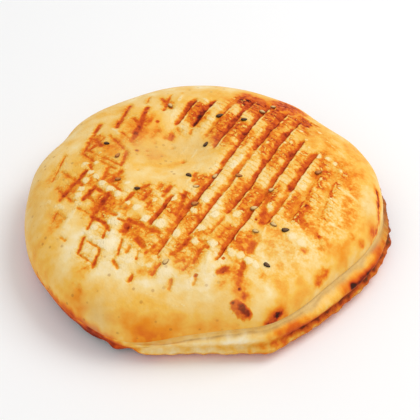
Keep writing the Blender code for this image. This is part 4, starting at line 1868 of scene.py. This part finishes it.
    def lighten(self, sheet: NodeSheet, dough: Dough, tone: Term) -> Term:
        """Lay the pale scratches and flecks, some of them painted highlights, and the cream blobs over the
        browning.

        Args:
            sheet: The material's nodes.
            dough: Noise that frays them.
            tone: Tone under them.

        Returns:
            The tone.
        """
        cell, pale, cream = (sheet.attribute(name) for name in ("cell", "pale", "cream"))
        # Two of the pale strokes are painted highlights in the dip.
        tone = self.scratch.lay(tone, pale * 0.9 + dough.mottle * 1.2 - cell * 0.8)
        thin = sheet.attribute("zone") * (0.5 + sheet.attribute("rungs") * 0.35)
        # The flecks are partly painted highlights.
        tone = self.fleck_and_highlight.lay(tone, dough.speck * 1.2 + dough.blotch * 0.8, thin)
        return self.cream.lay(tone, cream + dough.mottle * 0.7)

    def grill_marks(self, sheet: NodeSheet, dough: Dough, tone: Term) -> Term:
        """Lay the browned bands, their dark edges that are partly painted shade, the painted ridge highlights
        and the char.

        Args:
            sheet: The material's nodes.
            dough: Noise that frays them.
            tone: Tone under them.

        Returns:
            The tone.
        """
        soft, blotch, speck, mottle = dough.soft, dough.blotch, dough.speck, dough.mottle
        mark = (sheet.attribute("mark") + soft * 0.5 + mottle * 0.55).step(*self.mark_step)
        own = sheet.attribute("mark_toast") - self.mark_shift + soft * 0.4 + mottle * 0.4
        # The dark edge is partly browning and partly painted shade; the next layer is a painted highlight.
        tone = self.edge.lay(tone.towards(own, mark), sheet.attribute("edge") + mottle * 0.5)
        tone = self.bright.lay(tone, sheet.attribute("bright") + mottle * 0.8)
        char = sheet.attribute("char")
        burnt = (char + speck * 0.4 + blotch * 0.4).step(*self.char_step)
        return tone.towards((char + blotch * 0.5 + speck * 0.3).at_least(tone), burnt)

    def tint(self, sheet: NodeSheet, dough: Dough, tone: Term) -> Term:
        """Turn the tone into a colour, with the small pinholes, the duller tints and the painted crease
        shade.

        Args:
            sheet: The material's nodes.
            dough: Noise that makes the tints patchy.
            tone: Place on the ramp.

        Returns:
            The colour.
        """
        dots = self.dots(sheet) * sheet.attribute("dotted") * (1.0 - sheet.attribute("zone")) * self.dot_share
        colour = sheet.mix(dots, sheet.ramp(tone, self.stops), self.pinhole_colour)
        for name, full, patchy, own in self.tints:
            share = sheet.attribute(name) * (full + dough.blotch * patchy).clamp()
            colour = sheet.mix(share, colour, own)
        return colour

    def dots(self, sheet: NodeSheet) -> Term:
        """Scatter small pinholes.

        Args:
            sheet: The material's nodes.

        Returns:
            1 in a hole and 0 around it.
        """
        inputs = {"Vector": sheet.place(), "Scale": 1 / self.dot_spacing}
        made = sheet.node("ShaderNodeTexVoronoi", {}, inputs)
        return 1.0 - Term(sheet, made.outputs["Distance"]).step(*self.dot_step)

    def rungs(self, sheet: NodeSheet, blotch: Term, speck: Term) -> Term:
        """Draw the fine cross lines that the grid pressed over the ridges.

        Args:
            sheet: The material's nodes.
            blotch: Noise that bends and breaks the lines.
            speck: Finer noise that frays them.

        Returns:
            1 on a line and 0 between.
        """
        inputs = {0: sheet.place(), 1: self.rung_heading}
        made = sheet.node("ShaderNodeVectorMath", {"operation": "DOT_PRODUCT"}, inputs)
        along = Term(sheet, made.outputs["Value"])
        wave = (along * (2 * math.pi / self.rung_period) + blotch * self.rung_bend).sine()
        return (wave + blotch * 3.0 + speck).step(*self.rung_step)


@dataclass(frozen=True)
class SeedFinish:
    """A small seed with a lighter crown."""

    name: str
    dark: Shade
    light: Shade
    speck_size: float = 0.5 * MM
    bump_size: float = 0.3 * MM
    bump_depth: float = 0.05 * MM
    bump_share: float = 0.5
    specular: float = 0.2

    def make(self) -> bpy.types.Material:
        """Make the material.

        Returns:
            The material.
        """
        sheet = NodeSheet(self.name)
        speck = sheet.noise(self.speck_size)
        share = (sheet.attribute("crown") * 0.85 + speck * 0.5).clamp()
        roughness = (0.35 + speck * 0.2).clamp()
        normal = sheet.bump(sheet.noise(self.bump_size), self.bump_depth, self.bump_share)
        return sheet.finish(sheet.mix(share, self.dark, self.light), roughness, normal, self.specular)


class SeedKind(Enum):
    """The kinds of seed on the crust, with their finishes."""

    DARK = SeedFinish("dark_seed", srgb(34, 18, 12), srgb(112, 78, 48))
    PALE = SeedFinish("pale_seed", srgb(146, 102, 54), srgb(236, 200, 132))
    TOASTED = SeedFinish("toasted_seed", srgb(140, 76, 34), srgb(206, 132, 62))


@dataclass
class Seeds:
    """All the seeds of one kind, each with its column, row and heading in degrees."""

    kind: SeedKind
    places: tuple[Triple, ...]
    form: BreadForm
    grill: Grill
    half: Triple = (1.6 * MM, 0.9 * MM, 0.6 * MM)
    taper: float = 0.35
    around: int = 14
    rings: int = 9
    uneven: float = 0.12
    uneven_turn: float = 2.4
    crown_start: float = 0.45
    crown_rise: float = 0.35
    sink: float = 0.02 * MM

    def build(self) -> bpy.types.Object:
        """Build the seeds as one mesh.

        Returns:
            The seeds' object.
        """
        mesh = bmesh.new()
        crown = mesh.verts.layers.float.new("crown")
        middle_x, middle_y = self.form.box_middle
        for number, (column, row, heading) in enumerate(self.places):
            x, y = self.grill.land((column, row))
            before = set(mesh.verts)
            bmesh.ops.create_uvsphere(mesh, u_segments=self.around, v_segments=self.rings, radius=1.0)
            grown = [vert for vert in mesh.verts if vert not in before]
            size = 1.0 + self.uneven * math.sin(number * self.uneven_turn)
            for vert in grown:
                vert[crown] = min(max((vert.co.z - self.crown_start) / self.crown_rise, 0.0), 1.0)
                narrow = 1.0 - self.taper * vert.co.x
                vert.co.x *= self.half[0] * size
                vert.co.y *= self.half[1] * size * narrow
                vert.co.z *= self.half[2] * size
            press = self.grill.read(np.array([x]), np.array([y])).press[0]
            height = float(self.form.dome_height(x, y) - press) - self.sink
            place = Matrix.Translation((x - middle_x, y - middle_y, height))
            turn = self.form.slope_turn(x, y, heading)
            bmesh.ops.transform(mesh, matrix=place @ turn, verts=grown)
        return add_object(self.kind.value.name + "s", mesh, smooth=True)

    def dress(self, seeds: bpy.types.Object) -> None:
        """Give the seeds their finish and their place in the frame.

        Args:
            seeds: The seeds' object.
        """
        seeds.data.materials.append(self.kind.value.make())
        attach(seeds, BODY)
        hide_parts(NODE)


@dataclass(frozen=True)
class Studio:
    """Floor, soft lights and the pale surroundings."""

    floor_half: float = 3.0
    floor_colour: Shade = srgb(250, 250, 250)
    floor_roughness: float = 0.8
    sky_colour: Shade = (1.0, 1.0, 1.0, 1.0)
    sky_strength: float = 0.61
    key_size: float = 0.6
    key_power: float = 4.6
    key_place: Triple = (0.55, 0.2, 0.8)
    fill_size: float = 1.0
    fill_power: float = 2.0
    fill_place: Triple = (-0.4, -0.8, 0.8)

    def build(self) -> None:
        """Put the floor, the lights and the surroundings in the scene."""
        mesh = bmesh.new()
        bmesh.ops.create_grid(mesh, x_segments=2, y_segments=2, size=self.floor_half)
        floor = add_object("floor", mesh, smooth=False)
        sheet = NodeSheet("pale_floor")
        sheet.shader.inputs["Base Color"].default_value = self.floor_colour
        sheet.shader.inputs["Roughness"].default_value = self.floor_roughness
        floor.data.materials.append(sheet.material)
        self.add_light("key", self.key_place, self.key_size, self.key_power)
        self.add_light("fill", self.fill_place, self.fill_size, self.fill_power)
        world = bpy.data.worlds.new("surroundings")
        world.use_nodes = True
        background = world.node_tree.nodes["Background"]
        background.inputs["Color"].default_value = self.sky_colour
        background.inputs["Strength"].default_value = self.sky_strength
        bpy.context.scene.world = world
        bpy.context.scene.view_settings.view_transform = "Standard"

    @staticmethod
    def add_light(name: str, place: Triple, size: float, power: float) -> None:
        """Add one square light aimed at the bread.

        Args:
            name: The light's name.
            place: Where it stands.
            size: Its width.
            power: Its power in watts.
        """
        data = bpy.data.lights.new(name, "AREA")
        data.size = size
        data.energy = power
        light = bpy.data.objects.new(name, data)
        light.location = place
        light.rotation_euler = (-Vector(place)).to_track_quat("-Z", "Y").to_euler()
        bpy.context.scene.collection.objects.link(light)


def main() -> None:
    """Build the bread, its seeds and the studio."""
    logging.basicConfig(level=logging.INFO, format="%(message)s")
    form = BreadForm()
    view = PhotoView()
    grill = Grill(form, view)
    crust = Crust(Dome(form, grill), Side(form))
    piece = crust.build()
    crust.dress(piece)
    log.info("%s: %d faces", piece.name, len(piece.data.polygons))
    kinds = ((SeedKind.DARK, DARK_SEEDS), (SeedKind.PALE, PALE_SEEDS), (SeedKind.TOASTED, TOASTED_SEEDS))
    for kind, places in kinds:
        seeds = Seeds(kind, places, form, grill)
        piece = seeds.build()
        seeds.dress(piece)
        log.info("%s: %d faces", piece.name, len(piece.data.polygons))
    Studio().build()
    view.make_camera(form)


if __name__ == "__main__":
    main()
